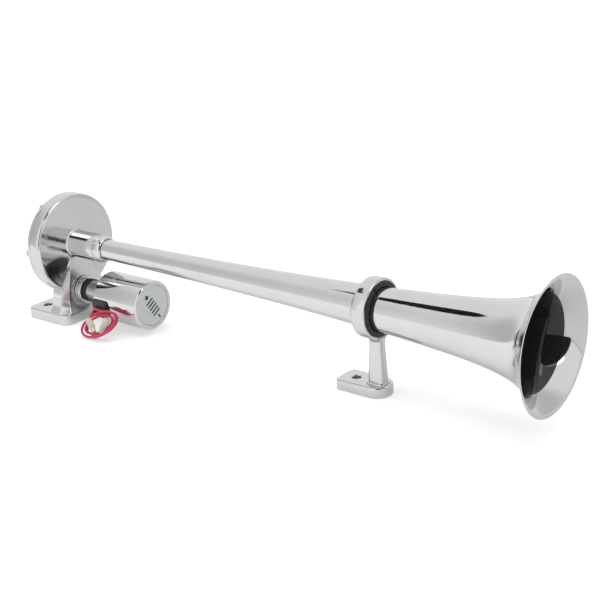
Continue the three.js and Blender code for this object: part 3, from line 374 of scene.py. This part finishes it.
# Solenoid can: a deep drawn steel cup, chromed. Its front edge is chamfered and its rim
# is turned in round the cap.
valve_height = 23.5
can_back, can_front, can_radius = 34.6, 82.5, 19.7
chrome = Finish("polished_chrome", metallic=1)
where = chrome.place()
ripple = chrome.noise(where, 60, 2)
haze = chrome.noise(where, 900, 3)
chrome.give("Base Color", chrome.between(ripple, (0.59, 0.59, 0.6), (0.65, 0.652, 0.66)))
chrome.give("Roughness", ripple * 0.05 + haze * 0.03 + 0.03)
chrome.bump(ripple, 0.00006)
bm = bmesh.new()
turned(
    bm,
    [
        (can_back, 18.2),
        (can_back, can_radius, 0.5),
        (81.45, can_radius, 0.25),
        (can_front, 18.93, 0.3),
        (can_front, 16.3, 0.3),
        (79.8, 16.3),
        (79.8, 4.4),
        (77.6, 2.2),
        (77, 2.2),
        (77, 18.2),
    ],
    valve_height,
    steps=160,
)
piece(bm, "solenoid_can", chrome)

# Cap: a flat disc of satin metal pressed into the can, with a chromed rim. A plus, a row
# of plain bars and a minus are printed across it in black.
cap_back, cap_face, cap_lip = 80.1, 82, 82.2
disc_radius, cap_radius = 14.4, 16.2
satin_cap = Finish("satin_cap", metallic=0.85)
brushing = satin_cap.noise(satin_cap.place((1, 60, 4)), 120, 3)
pale_green = satin_cap.between(brushing, (0.56, 0.59, 0.57), (0.66, 0.69, 0.67))
satin_cap.give("Base Color", pale_green)
satin_cap.give("Roughness", brushing * 0.18 + 0.3)
satin_cap.bump(brushing, 0.00001)
bm = bmesh.new()
rim = [(cap_lip, cap_radius, 0.3), (cap_lip, 14.9, 0.3), (cap_face, disc_radius, 0.2)]
profile = [(cap_back, 0), (cap_back, cap_radius), *rim, (cap_face, 0)]
turned(bm, profile, valve_height, steps=128, closed=False)
for face in bm.faces:
    middle = face.calc_center_median()
    off_centre = math.hypot(middle.y, middle.z - valve_height)
    face.material_index = int(off_centre > disc_radius + 0.2)
piece(bm, "can_cap", satin_cap).data.materials.append(chrome.material)
black_ink = Finish("black_ink")
spread = black_ink.noise(black_ink.place(), 1500, 2)
printed = black_ink.between(spread, (0.01, 0.01, 0.01), (0.05, 0.05, 0.05))
black_ink.give("Base Color", printed)
black_ink.give("Roughness", spread * 0.2 + 0.4)
bm = bmesh.new()
diagonal = Matrix.Rotation(math.radians(-58), 3, "X")
stroke, sign_size, bar_length, bar_step = 1.4, 4.2, 8.4, 3.1
strokes = [(-11, sign_size, stroke), (-11, stroke, sign_size), (11, sign_size, stroke)]
strokes += [(bar_step * i, stroke, bar_length) for i in range(-2, 3)]
for along, width, height in strokes:
    bar = bmesh.ops.create_cube(bm, size=1)["verts"]
    bmesh.ops.scale(bm, verts=bar, vec=(0.06, width, height))
    bmesh.ops.translate(bm, verts=bar, vec=(cap_face + 0.01, along, 0))
    bmesh.ops.rotate(bm, cent=(0, 0, 0), matrix=diagonal, verts=bar)
    bmesh.ops.translate(bm, verts=bar, vec=(0, 0, valve_height - 1.4))
piece(bm, "cap_marks", black_ink)

# Neck: the grey steel tube in which the plunger slides, with the black ring that seals it
# against the nipple.
neck_radius = 8.6
grey_steel = Finish("grey_steel", metallic=1)
turning = grey_steel.noise(grey_steel.place((40, 1, 1)), 90, 3)
grey_steel.give("Base Color", grey_steel.between(turning, (0.4, 0.41, 0.42), (0.52, 0.53, 0.54)))
grey_steel.give("Roughness", turning * 0.15 + 0.22)
grey_steel.bump(turning, 0.00001)
bm = bmesh.new()
tube = [(5, 7), (5, neck_radius), (76.7, neck_radius), (76.7, 7)]
turned(bm, tube, valve_height, steps=96)
piece(bm, "valve_neck", grey_steel)
black_rubber = Finish("black_rubber")
bloom = black_rubber.noise(black_rubber.place(), 1200, 4)
dusty = black_rubber.between(bloom, (0.01, 0.01, 0.01), (0.03, 0.03, 0.03))
black_rubber.give("Base Color", dusty)
black_rubber.give("Roughness", bloom * 0.25 + 0.5)
black_rubber.bump(bloom, 0.00003)
bm = bmesh.new()
ring = [(10.3, 8.9), (10.3, 9.4, 0.4), (13.2, 9.4, 0.4), (13.2, 8.9)]
turned(bm, ring, valve_height, steps=96)
piece(bm, "nipple_seal", black_rubber)

# Nipple: a brass fitting turned with two grooves and chromed. It is screwed into the
# pedestal and carries the valve.
flange, groove = 11.6, 10.8
bm = bmesh.new()
turned(
    bm,
    [
        (-0.3, 4.5),
        (-0.3, 6.6),
        (3.8, 6.6),
        (3.8, flange, 0.35),
        (4.8, flange, 0.12),
        (5.1, groove, 0.12),
        (5.5, groove, 0.12),
        (5.8, flange, 0.12),
        (7.9, flange, 0.12),
        (8.2, groove, 0.12),
        (8.6, groove, 0.12),
        (8.9, flange, 0.12),
        (10, flange, 0.6),
        (10, 8.9),
        (4.7, 8.9),
        (4.7, 4.5),
    ],
    valve_height,
    steps=112,
)
piece(bm, "valve_nipple", chrome)

# Sound housing: a zinc die casting, chromed in one piece, with two bolt holes in its foot.
# The drum and its boss are polished, and the pedestal's front and the foot are duller.
axis_height = 62.3
drum_radius = 40.6
foot_thickness = 8.7
pedestal_top = 52.8
pedestal_levels = 32
cast_chrome = Finish("cast_chrome", metallic=1)
where = cast_chrome.place()
swell = cast_chrome.noise(where, 45, 3)
haze = cast_chrome.noise(where, 1100, 3)
plated = cast_chrome.between(swell, (0.56, 0.56, 0.565), (0.64, 0.642, 0.645))
cast_chrome.give("Base Color", plated)
across = {0: cast_chrome.place((0, 1, 1), (0, 0, -axis_height / 1000))}
off_axis = cast_chrome.node("ShaderNodeVectorMath", across, output="Value", operation="LENGTH")
height = cast_chrome.node("ShaderNodeSeparateXYZ", {0: where}, output="Z")
ahead = cast_chrome.node("ShaderNodeSeparateXYZ", {0: where}, output="X")
off_boss = (off_axis > 0.0135) * (ahead > to_frame.translation.x + 0.0004)
polished = (height > 0.021) * (1 - off_boss)
polished = polished.maths("MAXIMUM", polished, ahead > -0.05)
cast_chrome.give("Roughness", swell * 0.07 + haze * 0.04 + (0.21 - polished * 0.16))
cast_chrome.bump(swell + haze * 0.04, 0.00012)


def cut(piece_mesh, cutter_mesh):
    """The first bmesh with the second one taken out of it; both are used up."""
    ends = []
    for bm in (piece_mesh, cutter_mesh):
        bmesh.ops.remove_doubles(bm, verts=bm.verts, dist=seam)
        bmesh.ops.recalc_face_normals(bm, faces=bm.faces)
        mesh = bpy.data.meshes.new("cutting")
        bm.to_mesh(mesh)
        bm.free()
        ends.append(bpy.data.objects.new("cutting", mesh))
        bpy.context.scene.collection.objects.link(ends[-1])
    cutting = ends[0].modifiers.new("cutting", "BOOLEAN")
    cutting.operation = "DIFFERENCE"
    cutting.solver = "EXACT"
    cutting.use_self = True
    cutting.object = ends[1]
    bpy.context.view_layer.update()
    result = bmesh.new()
    result.from_object(ends[0], bpy.context.evaluated_depsgraph_get())
    for end in ends:
        mesh = end.data
        bpy.data.objects.remove(end)
        bpy.data.meshes.remove(mesh)
    return result


def pedestal_outline(z):
    """Half of the outline at a height: a chamfered back, a flat side and a ridge in front."""
    up = z - foot_thickness
    rise = up / (pedestal_top - foot_thickness)
    front = 3.5 - 3 * rise**3 + 4.7 * max(0, 1 - up / 12) ** 2
    side = 24.6 - 16.4 * rise**2.1 + 3.5 * max(0, 1 - up / 7) ** 2
    ridge = 18.4 - 6.9 * rise + 0.83 * (front - 3.5)
    return [(-13, side - 3), (-10, side), (0, side), (front, ridge)]


body = bmesh.new()
slab(body, (-38.5, -28.4), (8.7, 28.4), [5, 7, 7, 5], 0, foot_thickness, edge=1.3, segments=5)
loops = []
for i in range(pedestal_levels + 1):
    z = foot_thickness + (pedestal_top - foot_thickness) * (i / pedestal_levels) ** 1.7
    outline = [(x, -y) for x, y in pedestal_outline(z)]
    outline += [(x, -y) for x, y in reversed(outline)]
    z = foot_thickness - 0.4 if i == 0 else z
    verts = [body.verts.new((x, y, z)) for x, y in outline]
    loops.append([body.edges.new(pair) for pair in zip(verts, verts[1:] + verts[:1])])
for lower, upper in zip(loops, loops[1:]):
    bmesh.ops.bridge_loops(body, edges=lower + upper)
for ends in (loops[0], loops[-1]):
    bmesh.ops.contextual_create(body, geom=ends)
own = {vert for loop in loops for edge in loop for vert in edge.verts}
rising = [e for e in body.edges if abs(e.verts[0].co.z - e.verts[1].co.z) > 0.02]
rising = [e for e in rising if own.issuperset(e.verts)]
ridges = [e for e in rising if all(v.co.x > 0.4 for v in e.verts)]
corners = [e for e in rising if e not in ridges]
for edges, offset in ((ridges, 0.8), (corners, 1.9)):
    rounded(body, [e for e in edges if e.is_valid], offset, 5, clamp_overlap=True)
inlet_height = 15.2
inlet = [(-14, 0), (-14, 5.6), (-12.4, 4.9), (-4, 4.9), (-4, 0)]
room = bmesh.new()
turned(room, [(-18, 0), (-18, 40.9), (-10.1, 40.9), (-10.1, 0)], axis_height, 160, closed=False)
turned(room, [(3.5, 0), (3.5, 11.9), (9.7, 11.9), (9.7, 0)], valve_height, 96, closed=False)
turned(room, [(-5.5, 0), (-5.5, 6.9), (3.6, 6.9), (3.6, 0)], valve_height, 64, closed=False)
turned(room, inlet, inlet_height, 64, closed=False)
for side in (-15.5, 15.5):
    hole = (Vector((-28, side, -1)), Vector((-28, side, 10)))
    bolt = [(0, 0), (0, 3.6), (9.1, 3.6), (10.3, 4.8), (10.3, 0)]
    turned(room, bolt, steps=64, closed=False, along=hole)
housing = cut(body, room)



def quarter_round(steps):
    angles = [t / steps * math.pi / 2 for t in range(steps + 1)]
    return [(math.sin(angle), math.cos(angle)) for angle in angles]


boss_radius = 11
rim = [(-2.4 + 2.4 * sine, 37.1 + 3.5 * cosine) for sine, cosine in quarter_round(8)]
fillet = [(1.6 - 1.6 * cosine, 12.6 - 1.6 * sine) for sine, cosine in quarter_round(6)]
outside = [(-10.1, 33.8), (-10.1, drum_radius, 0.4), *rim, *fillet, (28.8, boss_radius, 0.6)]
inside = [
    (28.8, 8.4),
    (3, 8.4),
    (3, 6.8),
    (-7.5, 6.8),
    (-7.5, 9),
    (-3.6, 9),
    (-2.6, 10),
    (-2.6, 29),
    (-3.6, 30),
    (-7.5, 30),
    (-7.5, 33.8),
]
turned(housing, outside + inside, axis_height, steps=192)
piece(housing, "sound_housing", cast_chrome)

# Rear cover: a cast and chromed disc with a raised middle. Six screws clamp it and the
# diaphragm's edge to the housing.
bm = bmesh.new()
turned(
    bm,
    [
        (-10.4, 26.6),
        (-10.4, drum_radius, 0.4),
        (-13.3, drum_radius, 1),
        (-13.3, 29.4, 0.8),
        (-16.3, 27.2, 1.4),
        (-16.3, 0),
        (-14.8, 0),
        (-14.8, 26.2, 1),
        (-11, 27.6),
    ],
    axis_height,
    steps=192,
)
holes = bmesh.new()
screw_circle = 37
screw_lines = []
for i in range(6):
    angle = i * math.pi / 3
    spoke = Vector((0, math.cos(angle), math.sin(angle))) * screw_circle
    place = Vector((0, 0, axis_height)) + spoke
    screw_lines.append((place, place + Vector((1, 0, 0))))
drill = [(-15, 0), (-15, 2.2), (-9, 2.2), (-9, 0)]
for line in screw_lines:
    turned(holes, drill, steps=32, closed=False, along=line)
piece(cut(bm, holes), "rear_cover", cast_chrome)

# Cover screws: six pan head screws of zinc plated steel with a cross recess, turned into
# the housing through the cover.
steel = Finish("bright_steel", metallic=1)
streak = steel.noise(steel.place(), 500, 4)
steel.give("Base Color", steel.between(streak, (0.5, 0.5, 0.5), (0.66, 0.66, 0.67)))
steel.give("Roughness", streak * 0.22 + 0.2)
steel.bump(streak, 0.00001)
head = [(-15.8, 0), (-15.8, 3.4, 1.3), (-13.6, 3.4, 0.2)]
shank = [(-13.6, 1.9), (-3.6, 1.9, 0.4), (-3.6, 0)]
for i, line in enumerate(screw_lines):
    bm = bmesh.new()
    turned(bm, head + shank, steps=48, closed=False, along=line)
    recess = bmesh.new()
    for turn in (0, math.pi / 2):
        blade = bmesh.ops.create_cube(recess, size=1)["verts"]
        bmesh.ops.scale(recess, verts=blade, vec=(2.6, 3.9, 0.8))
        tip = [v for v in blade if v.co.x > 0]
        bmesh.ops.scale(recess, verts=tip, vec=(1, 0.5, 0.8))
        driven = line[0] + Vector((-16, 0, 0))
        spin = Matrix.Translation(driven) @ Matrix.Rotation(turn, 4, "X")
        bmesh.ops.transform(recess, matrix=spin, verts=blade)
    piece(cut(bm, recess), f"cover_screw_{i + 1}", steel)

# Collar: a turned and chromed brass ring, pressed on the trumpet where that enters the
# boss.
bm = bmesh.new()
turned(
    bm,
    [
        (29.1, 8.4),
        (29.1, 11, 0.4),
        (30.4, 11, 0.3),
        (30.8, 10.4, 0.15),
        (31.3, 10.8, 0.3),
        (33.7, 10.7, 0.8),
        (35.4, 10, 0.8),
        (36.3, 8.9, 0.2),
        (36.3, 8.4),
    ],
    axis_height,
    steps=128,
)
piece(bm, "trumpet_collar", chrome)

# Trumpet tube: thin brass, drawn to a slow cone, polished and chromed. Its rear end is
# straight in the boss, and its front end is necked in to take the bell. The bore is black.
bell_radius = 45.6
straight_end = 36
tube_end = 296.6
spigot_end = 302.6
tube_radius = 8.1
cone_growth, flare_growth, lip_growth = 16.8, 13.9, 6.8


def horn_radius(x):
    way = max(0, x - straight_end) / (horn_length - straight_end)
    cone = tube_radius + cone_growth * (0.276 * way + 0.724 * way**2.79)
    flare = flare_growth * math.exp((x - horn_length) / 18.6)
    return cone + flare + lip_growth * math.exp((x - horn_length) / 6.1)


def inner_wall(point):
    x, radius = point
    lean = math.atan((horn_radius(x + 0.01) - horn_radius(x - 0.01)) / 0.02)
    return x + math.sin(lean), radius - math.cos(lean)


outside = [(6, tube_radius)]
for i in range(41):
    x = 20 + (tube_end - 20) * i / 40
    outside.append((x, horn_radius(x)))
spigot = horn_radius(tube_end) - 1.3
neck = [(tube_end, spigot, 0.2), (spigot_end, spigot, 0.2)]
neck += [(spigot_end, spigot - 1), (tube_end - 1, spigot - 1)]
inside = [inner_wall(point) for point in outside[-2::-1]]
bm = bmesh.new()
turned(bm, outside + neck + inside, axis_height, steps=192)


def lacquer(bm, bright_from):
    """Leave the inner wall of a horn piece to its second material, short of a place."""
    for face in bm.faces:
        middle = face.calc_center_median()
        radius = math.hypot(middle.y, middle.z - axis_height)
        inner = radius < horn_radius(middle.x) - 0.5
        face.material_index = int(inner and middle.x < bright_from)


black_bore = Finish("black_bore")
film = black_bore.noise(black_bore.place(), 60, 3)
lacquered = black_bore.between(film, (0.016, 0.016, 0.016), (0.024, 0.024, 0.024))
black_bore.give("Base Color", lacquered)
black_bore.give("Roughness", film * 0.06 + 0.03)
lacquer(bm, spigot_end + 1)
trumpet = piece(bm, "trumpet", chrome, sharp=50)
trumpet.data.materials.append(black_bore.material)

# Bell: spun from thin brass sheet, soldered over the tube's end under the bracket and
# chromed with it. It flares to a thin lip, and the chrome ends a little way inside that.
chrome_start = (420, 32.15)
outside = []
for i in range(91):
    x = horn_length - 0.5 - (horn_length - 0.5 - tube_end - 0.3) * (1 - i / 90) ** 1.7
    outside.append((x, horn_radius(x)))
lip = [(horn_length, bell_radius - 0.25), (horn_length, bell_radius - 0.7)]
inside = [inner_wall(point) for point in outside]
inside = [point for point in inside if point[0] < horn_length - 0.2]
inside[0] = (tube_end + 0.3, inside[0][1])
nearest = min(range(len(inside)), key=lambda i: abs(inside[i][0] - chrome_start[0]))
inside[nearest] = chrome_start
bm = bmesh.new()
turned(bm, outside + lip + inside[::-1], axis_height, steps=192)
lacquer(bm, chrome_start[0])
bell = piece(bm, "bell", chrome, sharp=50)
bell.data.materials.append(black_bore.material)

# Bracket liner: a strip of black rubber bent round the trumpet inside the bracket's ring.
# Its ends almost meet near the top.
bracket_back = 291
ring_front = bracket_back + 11.2
liner_front = ring_front + 0.9
ring_inner = horn_radius(liner_front) + 4.3
bm = bmesh.new()
profile = [
    (bracket_back - 0.9, horn_radius(bracket_back - 0.9) + 0.3),
    (bracket_back - 0.9, ring_inner - 0.3),
    (liner_front, ring_inner - 0.3),
    (liner_front, horn_radius(liner_front) + 0.3),
]
section = [bm.verts.new((x, 0, axis_height + radius)) for x, radius in profile]
bm.faces.new(section)
rounded(bm, section, 0.5, 3, "VERTICES")
strip = bm.verts[:] + bm.edges[:] + bm.faces[:]
split = math.radians(3.4)
opening = math.radians(28)
swing = Matrix.Rotation(opening + split / 2, 3, "X")
bmesh.ops.rotate(bm, cent=(0, 0, axis_height), matrix=swing, verts=bm.verts)
bmesh.ops.spin(
    bm,
    geom=strip,
    cent=(0, 0, axis_height),
    axis=(1, 0, 0),
    angle=2 * math.pi - split,
    steps=160,
    use_merge=False,
)
piece(bm, "bracket_liner", black_rubber, body="front_bracket")

# Front bracket: a chromed zinc casting with a ring, an upright pillar and a foot. One
# bolt through the foot holds it, and the ring carries the trumpet on the liner.
ring_radius = ring_inner + 1.6
ring_middle = bracket_back + 5.6
shoe_thickness = 7.5
body = bmesh.new()
shoe = [(267.6, -10.9), (307.1, 10.9), [4.4, 9.9, 9.9, 4.4]]
slab(body, *shoe, 0, shoe_thickness, edge=1.1, segments=5)
pillar_middle = ring_middle + 1
half, half_width = 7.1, 5.8
slab(
    body,
    (pillar_middle - half, -half_width),
    (pillar_middle + half, half_width),
    [2.2] * 4,
    shoe_thickness - 0.4,
    shoe_thickness + 1.4,
    edge=0.7,
)
loops = []
top = axis_height - ring_inner
for i in range(21):
    z = shoe_thickness - 0.2 + (top - 0.4 - shoe_thickness + 0.2) * (i / 20) ** 0.6
    share = (top - z) / (top - shoe_thickness)
    near = max(0, 1 - (top - z) / 5) ** 2
    half = 4.9 + 1.3 * share + 0.7 * near
    half_width = 3.6 + 1.3 * share + 4 * near
    corner = min(2.6, half_width - 0.3)
    outline = []
    for quarter in range(4):
        sign_x, sign_y = ((1, 1), (-1, 1), (-1, -1), (1, -1))[quarter]
        for step in range(7):
            angle = math.pi / 2 * (quarter + step / 6)
            x = sign_x * (half - corner) + corner * math.cos(angle)
            y = sign_y * (half_width - corner) + corner * math.sin(angle)
            outline.append((pillar_middle + x, y))
    verts = [body.verts.new((x, y, z)) for x, y in outline]
    loops.append([body.edges.new(pair) for pair in zip(verts, verts[1:] + verts[:1])])
for lower, upper in zip(loops, loops[1:]):
    bmesh.ops.bridge_loops(body, edges=lower + upper)
for ends in (loops[0], loops[-1]):
    bmesh.ops.contextual_create(body, geom=ends)
room = bmesh.new()
bore = [(280, 0), (280, ring_inner), (320, ring_inner), (320, 0)]
turned(room, bore, axis_height, 160, closed=False)
bolt = [(0, 0), (0, 3.2), (7.9, 3.2), (9.1, 4.4), (9.1, 0)]
hole = (Vector((279.1, 0, -1)), Vector((279.1, 0, 10)))
turned(room, bolt, steps=64, closed=False, along=hole)
bracket = cut(body, room)
turned(
    bracket,
    [
        (bracket_back, ring_inner),
        (bracket_back, ring_radius - 1, 0.4),
        (bracket_back + 1.4, ring_radius, 0.8),
        (ring_front, ring_radius, 0.7),
        (ring_front, ring_inner),
    ],
    axis_height,
    steps=160,
)
piece(bracket, "front_bracket", cast_chrome, body="front_bracket")

# Inner parts that the CAD model already shapes as they are: they keep their solids and
# get the finishes of turned and blackened steel, brass, rubber, plastic and wound copper.
brass = Finish("turned_brass", metallic=1)
ring_marks = brass.noise(brass.place((30, 1, 1)), 120, 3)
brass.give("Base Color", brass.between(ring_marks, (0.6, 0.43, 0.18), (0.76, 0.6, 0.32)))
brass.give("Roughness", ring_marks * 0.2 + 0.2)
brass.bump(ring_marks, 0.00001)
black_oxide = Finish("black_oxide", metallic=0.7)
cloud = black_oxide.noise(black_oxide.place(), 500, 3)
blackened = black_oxide.between(cloud, (0.05, 0.05, 0.052), (0.09, 0.09, 0.093))
black_oxide.give("Base Color", blackened)
black_oxide.give("Roughness", cloud * 0.15 + 0.25)
copper = Finish("copper_winding", metallic=1)
wound = {"Vector": copper.place(), "Scale": 620}
turns = copper.node("ShaderNodeTexWave", wound, output="Fac", bands_direction="X")
copper.give("Base Color", copper.between(turns, (0.4, 0.16, 0.06), (0.76, 0.42, 0.2)))
copper.give("Roughness", turns * 0.15 + 0.25)
copper.bump(turns, 0.0001)
plain_finishes = {
    "diaphragm": steel,
    "housing_seal": black_rubber,
    "trumpet_seal": black_rubber,
    "valve_seat": brass,
    "plunger": steel,
    "plunger_seal": black_rubber,
    "plunger_spring": steel,
    "fixed_core": steel,
    "back_plate": black_oxide,
    "coil_bobbin": black_plastic,
    "coil_winding": copper,
    "core_screw": steel,
}
for name, finish in plain_finishes.items():
    node = bpy.data.objects[name]
    node.data.materials.clear()
    node.data.materials.append(finish.material)

# Floor: a plain white sheet that keeps the object's soft shadow and stays white to the
# camera. In reflections it ends on the camera's side, where the dark room begins, and on
# the near left it glows brighter with painted light.
sheet_size, sheet_drop = 6, 0.0002
dark_tone = 0.014
room_start = 283
bm = bmesh.new()
bmesh.ops.create_grid(bm, x_segments=1, y_segments=1, size=sheet_size)
bmesh.ops.translate(bm, verts=bm.verts, vec=(0, 0, -sheet_drop))
mesh = bpy.data.meshes.new("floor")
bm.to_mesh(mesh)
bm.free()
floor = bpy.data.objects.new("floor", mesh)
bpy.context.scene.collection.objects.link(floor)
white_sheet = Finish("white_sheet", roughness=0.9)
paper = white_sheet.noise(white_sheet.place(), 30, 2)
white_sheet.give("Base Color", white_sheet.between(paper, (0.88, 0.88, 0.88), (0.9, 0.9, 0.9)))
seen = white_sheet.node("ShaderNodeLightPath", output="Is Camera Ray")
mirrored = white_sheet.node("ShaderNodeLightPath", output="Is Glossy Ray")
passed = white_sheet.node("ShaderNodeLightPath", output="Is Transmission Ray")
white_sheet.give("Emission Color", (1, 1, 1, 1))


def beyond(finish, vector, normal, offset, soft):
    """1 where a point lies past a plane with that normal, 0 before it, and a soft edge."""
    values = {0: vector, 1: normal}
    reach = finish.node("ShaderNodeVectorMath", values, output="Value", operation="DOT_PRODUCT")
    values = {0: reach, 1: offset - soft, 2: offset + soft}
    return finish.node("ShaderNodeMapRange", values, interpolation_type="SMOOTHSTEP")


def bearing(degrees, rise=0):
    turn, lift = math.radians(degrees), math.radians(rise)
    level = math.cos(lift)
    return level * math.cos(turn), level * math.sin(turn), math.sin(lift)


spot = white_sheet.place()
far = beyond(white_sheet, spot, bearing(129), 0.9, 0.5)
# Painted light: on the near left the sheet glows brighter in reflections alone, a pool of light
# painted for the chrome.
painted_glow_near_left = beyond(white_sheet, spot, (0, -1, 0), 0, 0.04)
painted_glow_near_left = painted_glow_near_left * beyond(white_sheet, spot, (-1, 0, 0), -0.2, 0.03)
glow = (seen + passed) * (far * 0.3 + 0.38) + mirrored * painted_glow_near_left * 0.33
white_sheet.give("Emission Strength", glow)
from_bell = white_sheet.place(location=(-0.225, 0, 0))
aside = beyond(white_sheet, from_bell, bearing(room_start + 90), 0, 0.01)
aside = aside * beyond(white_sheet, from_bell, bearing(334 - 90), 0, 0.01)
aside = aside * beyond(white_sheet, spot, (1, 0, 0), 0.73, 0.01)
dark = {"Color": (dark_tone, dark_tone, dark_tone, 1)}
dark_sheet = white_sheet.node("ShaderNodeEmission", dark, output="Emission")
sheet_output = white_sheet.tree.nodes["Material Output"].inputs["Surface"]
white_side = Level(white_sheet, white_sheet.shader.outputs[0])
mixed = {0: aside * mirrored, 1: white_side, 2: dark_sheet}
white_sheet.feed(sheet_output, white_sheet.node("ShaderNodeMixShader", mixed, output="Shader"))
mesh.materials.append(white_sheet.material)

# Tent: the pale cloth that stands round the horn and shows in its chrome, with the dark
# room behind the camera's opening and a bright strip beside that.
tent_radius = 4
strip_start, strip_end = 335.5, 341
bm = bmesh.new()
bmesh.ops.create_icosphere(bm, subdivisions=4, radius=tent_radius)
mesh = bpy.data.meshes.new("tent")
bm.to_mesh(mesh)
bm.free()
tent = bpy.data.objects.new("tent", mesh)
bpy.context.scene.collection.objects.link(tent)
tent_cloth = Finish("tent_cloth", base_color=(0, 0, 0, 1), roughness=1)
where = {0: tent_cloth.node("ShaderNodeTexCoord", output="Object")}
outward = tent_cloth.node("ShaderNodeVectorMath", where, output="Vector", operation="NORMALIZE")


def sector(start, end, low, high=2):
    """1 on the tent between two bearings and above one height, or between two heights."""
    inside = beyond(tent_cloth, outward, bearing(start + 90), 0, 0.012)
    inside = inside * beyond(tent_cloth, outward, bearing(end - 90), 0, 0.012)
    inside = inside * beyond(tent_cloth, outward, (0, 0, 1), low, 0.03)
    return inside * beyond(tent_cloth, outward, (0, 0, -1), -high, 0.03)


shade = beyond(tent_cloth, outward, bearing(200, 15), 0.9, 0.1) * 0.35
shade = shade + beyond(tent_cloth, outward, bearing(60, 15), 0.9, 0.1) * 0.33
cloth = tent_cloth.between(shade, (1, 1, 1), (0, 0, 0))
dark_room = sector(room_start, strip_start, -0.1)
bright_strip = sector(strip_start, strip_end, 0.42, 0.88)
for mask, tone in ((dark_room, dark_tone), (bright_strip, 3)):
    mix = {0: mask, 6: cloth, 7: (tone, tone, tone, 1)}
    cloth = tent_cloth.node("ShaderNodeMix", mix, output=2, data_type="RGBA")
tent_cloth.give("Emission Color", cloth)
tent_cloth.give("Emission Strength", 1)
mesh.materials.append(tent_cloth.material)


def only_mirrored(made):
    """Leave a part of the surroundings to the reflections alone."""
    made.visible_camera = False
    made.visible_diffuse = False
    made.visible_shadow = False
    made.visible_transmission = False


only_mirrored(tent)

# Panels: the soft box above the bell with its black frame, a black flag over the trumpet,
# and the white card that stands just out of the picture on the near side.
rig_height = 0.7
black_level = 0.012
overhead = [
    ("soft_box", 3, [(0.15, -0.16), (0.45, -0.16), (0.45, 0.2), (0.15, 0.2)]),
    ("frame", 0, [(0.1, -0.33), (0.6, -0.33), (0.6, -0.16), (0.1, -0.16)]),
    (
        "flag",
        0,
        [
            (-0.455, -0.17),
            (-0.43, -0.26),
            (-0.4, -0.3),
            (-0.3, -0.3),
            (-0.3, -0.03),
            (-0.36, -0.04),
            (-0.42, -0.08),
            (-0.455, -0.12),
        ],
    ),
]
panels = [(name, tone, [(x, y, rig_height) for x, y in flat]) for name, tone, flat in overhead]
card_place, card_start, card_end, card_top = -0.47, -0.2, 0.328, 0.75
upright = [(card_start, 0), (card_end, 0), (card_end, card_top), (card_start, card_top)]
panels.append(("card", 1.2, [(x, card_place, z) for x, z in upright]))
for name, tone, corners in panels:
    mesh = bpy.data.meshes.new(name)
    mesh.from_pydata(corners, [], [range(len(corners))])
    sheet = Finish(name, base_color=(0, 0, 0, 1), roughness=1, specular_ior_level=0)
    sheet.give("Emission Color", (1, 1, 1, 1))
    sheet.give("Emission Strength", tone + black_level)
    mesh.materials.append(sheet.material)
    made = bpy.data.objects.new(name, mesh)
    bpy.context.scene.collection.objects.link(made)
    only_mirrored(made)

# Light: a white surround for the camera, a softer one that lights the horn, and three
# large soft lamps that neither the camera nor the chrome sees.
world = bpy.data.worlds.new("studio")
bpy.context.scene.world = world
world.use_nodes = True
nodes, links = world.node_tree.nodes, world.node_tree.links
paths = nodes.new("ShaderNodeLightPath")
shown = paths.outputs["Is Camera Ray"]
for kind in ("Is Glossy Ray", "Is Transmission Ray"):
    either = nodes.new("ShaderNodeMath")
    either.operation = "MAXIMUM"
    links.new(paths.outputs[kind], either.inputs[0])
    links.new(shown, either.inputs[1])
    shown = either.outputs[0]
surround = nodes["Background"]
soft = nodes.new("ShaderNodeBackground")
for background, strength in ((surround, 1), (soft, 0.55)):
    background.inputs["Color"].default_value = (1, 1, 1, 1)
    background.inputs["Strength"].default_value = strength
choose = nodes.new("ShaderNodeMixShader")
links.new(shown, choose.inputs["Fac"])
links.new(soft.outputs[0], choose.inputs[1])
links.new(surround.outputs[0], choose.inputs[2])
links.new(choose.outputs[0], nodes["World Output"].inputs["Surface"])


def lamp(name, place, target, size, power):
    data = bpy.data.lights.new(name, "AREA")
    data.shape = "RECTANGLE"
    data.size, data.size_y = size
    data.energy = power
    made = bpy.data.objects.new(name, data)
    made.location = place
    made.rotation_euler = (Vector(target) - Vector(place)).to_track_quat("-Z", "Y").to_euler()
    made.visible_camera = False
    made.visible_glossy = False
    bpy.context.scene.collection.objects.link(made)


lamp("top_lamp", (0, -0.2, 1.6), (0, 0, 0), (1.8, 1.2), 9)
lamp("left_lamp", (-1.3, -0.9, 0.9), (0, 0, 0.05), (1, 1), 4)
lamp("right_lamp", (1.3, 0.5, 0.9), (0, 0, 0.05), (1, 1), 3)

# View: the picture keeps the Standard view transform.
bpy.context.scene.view_settings.view_transform = "Standard"
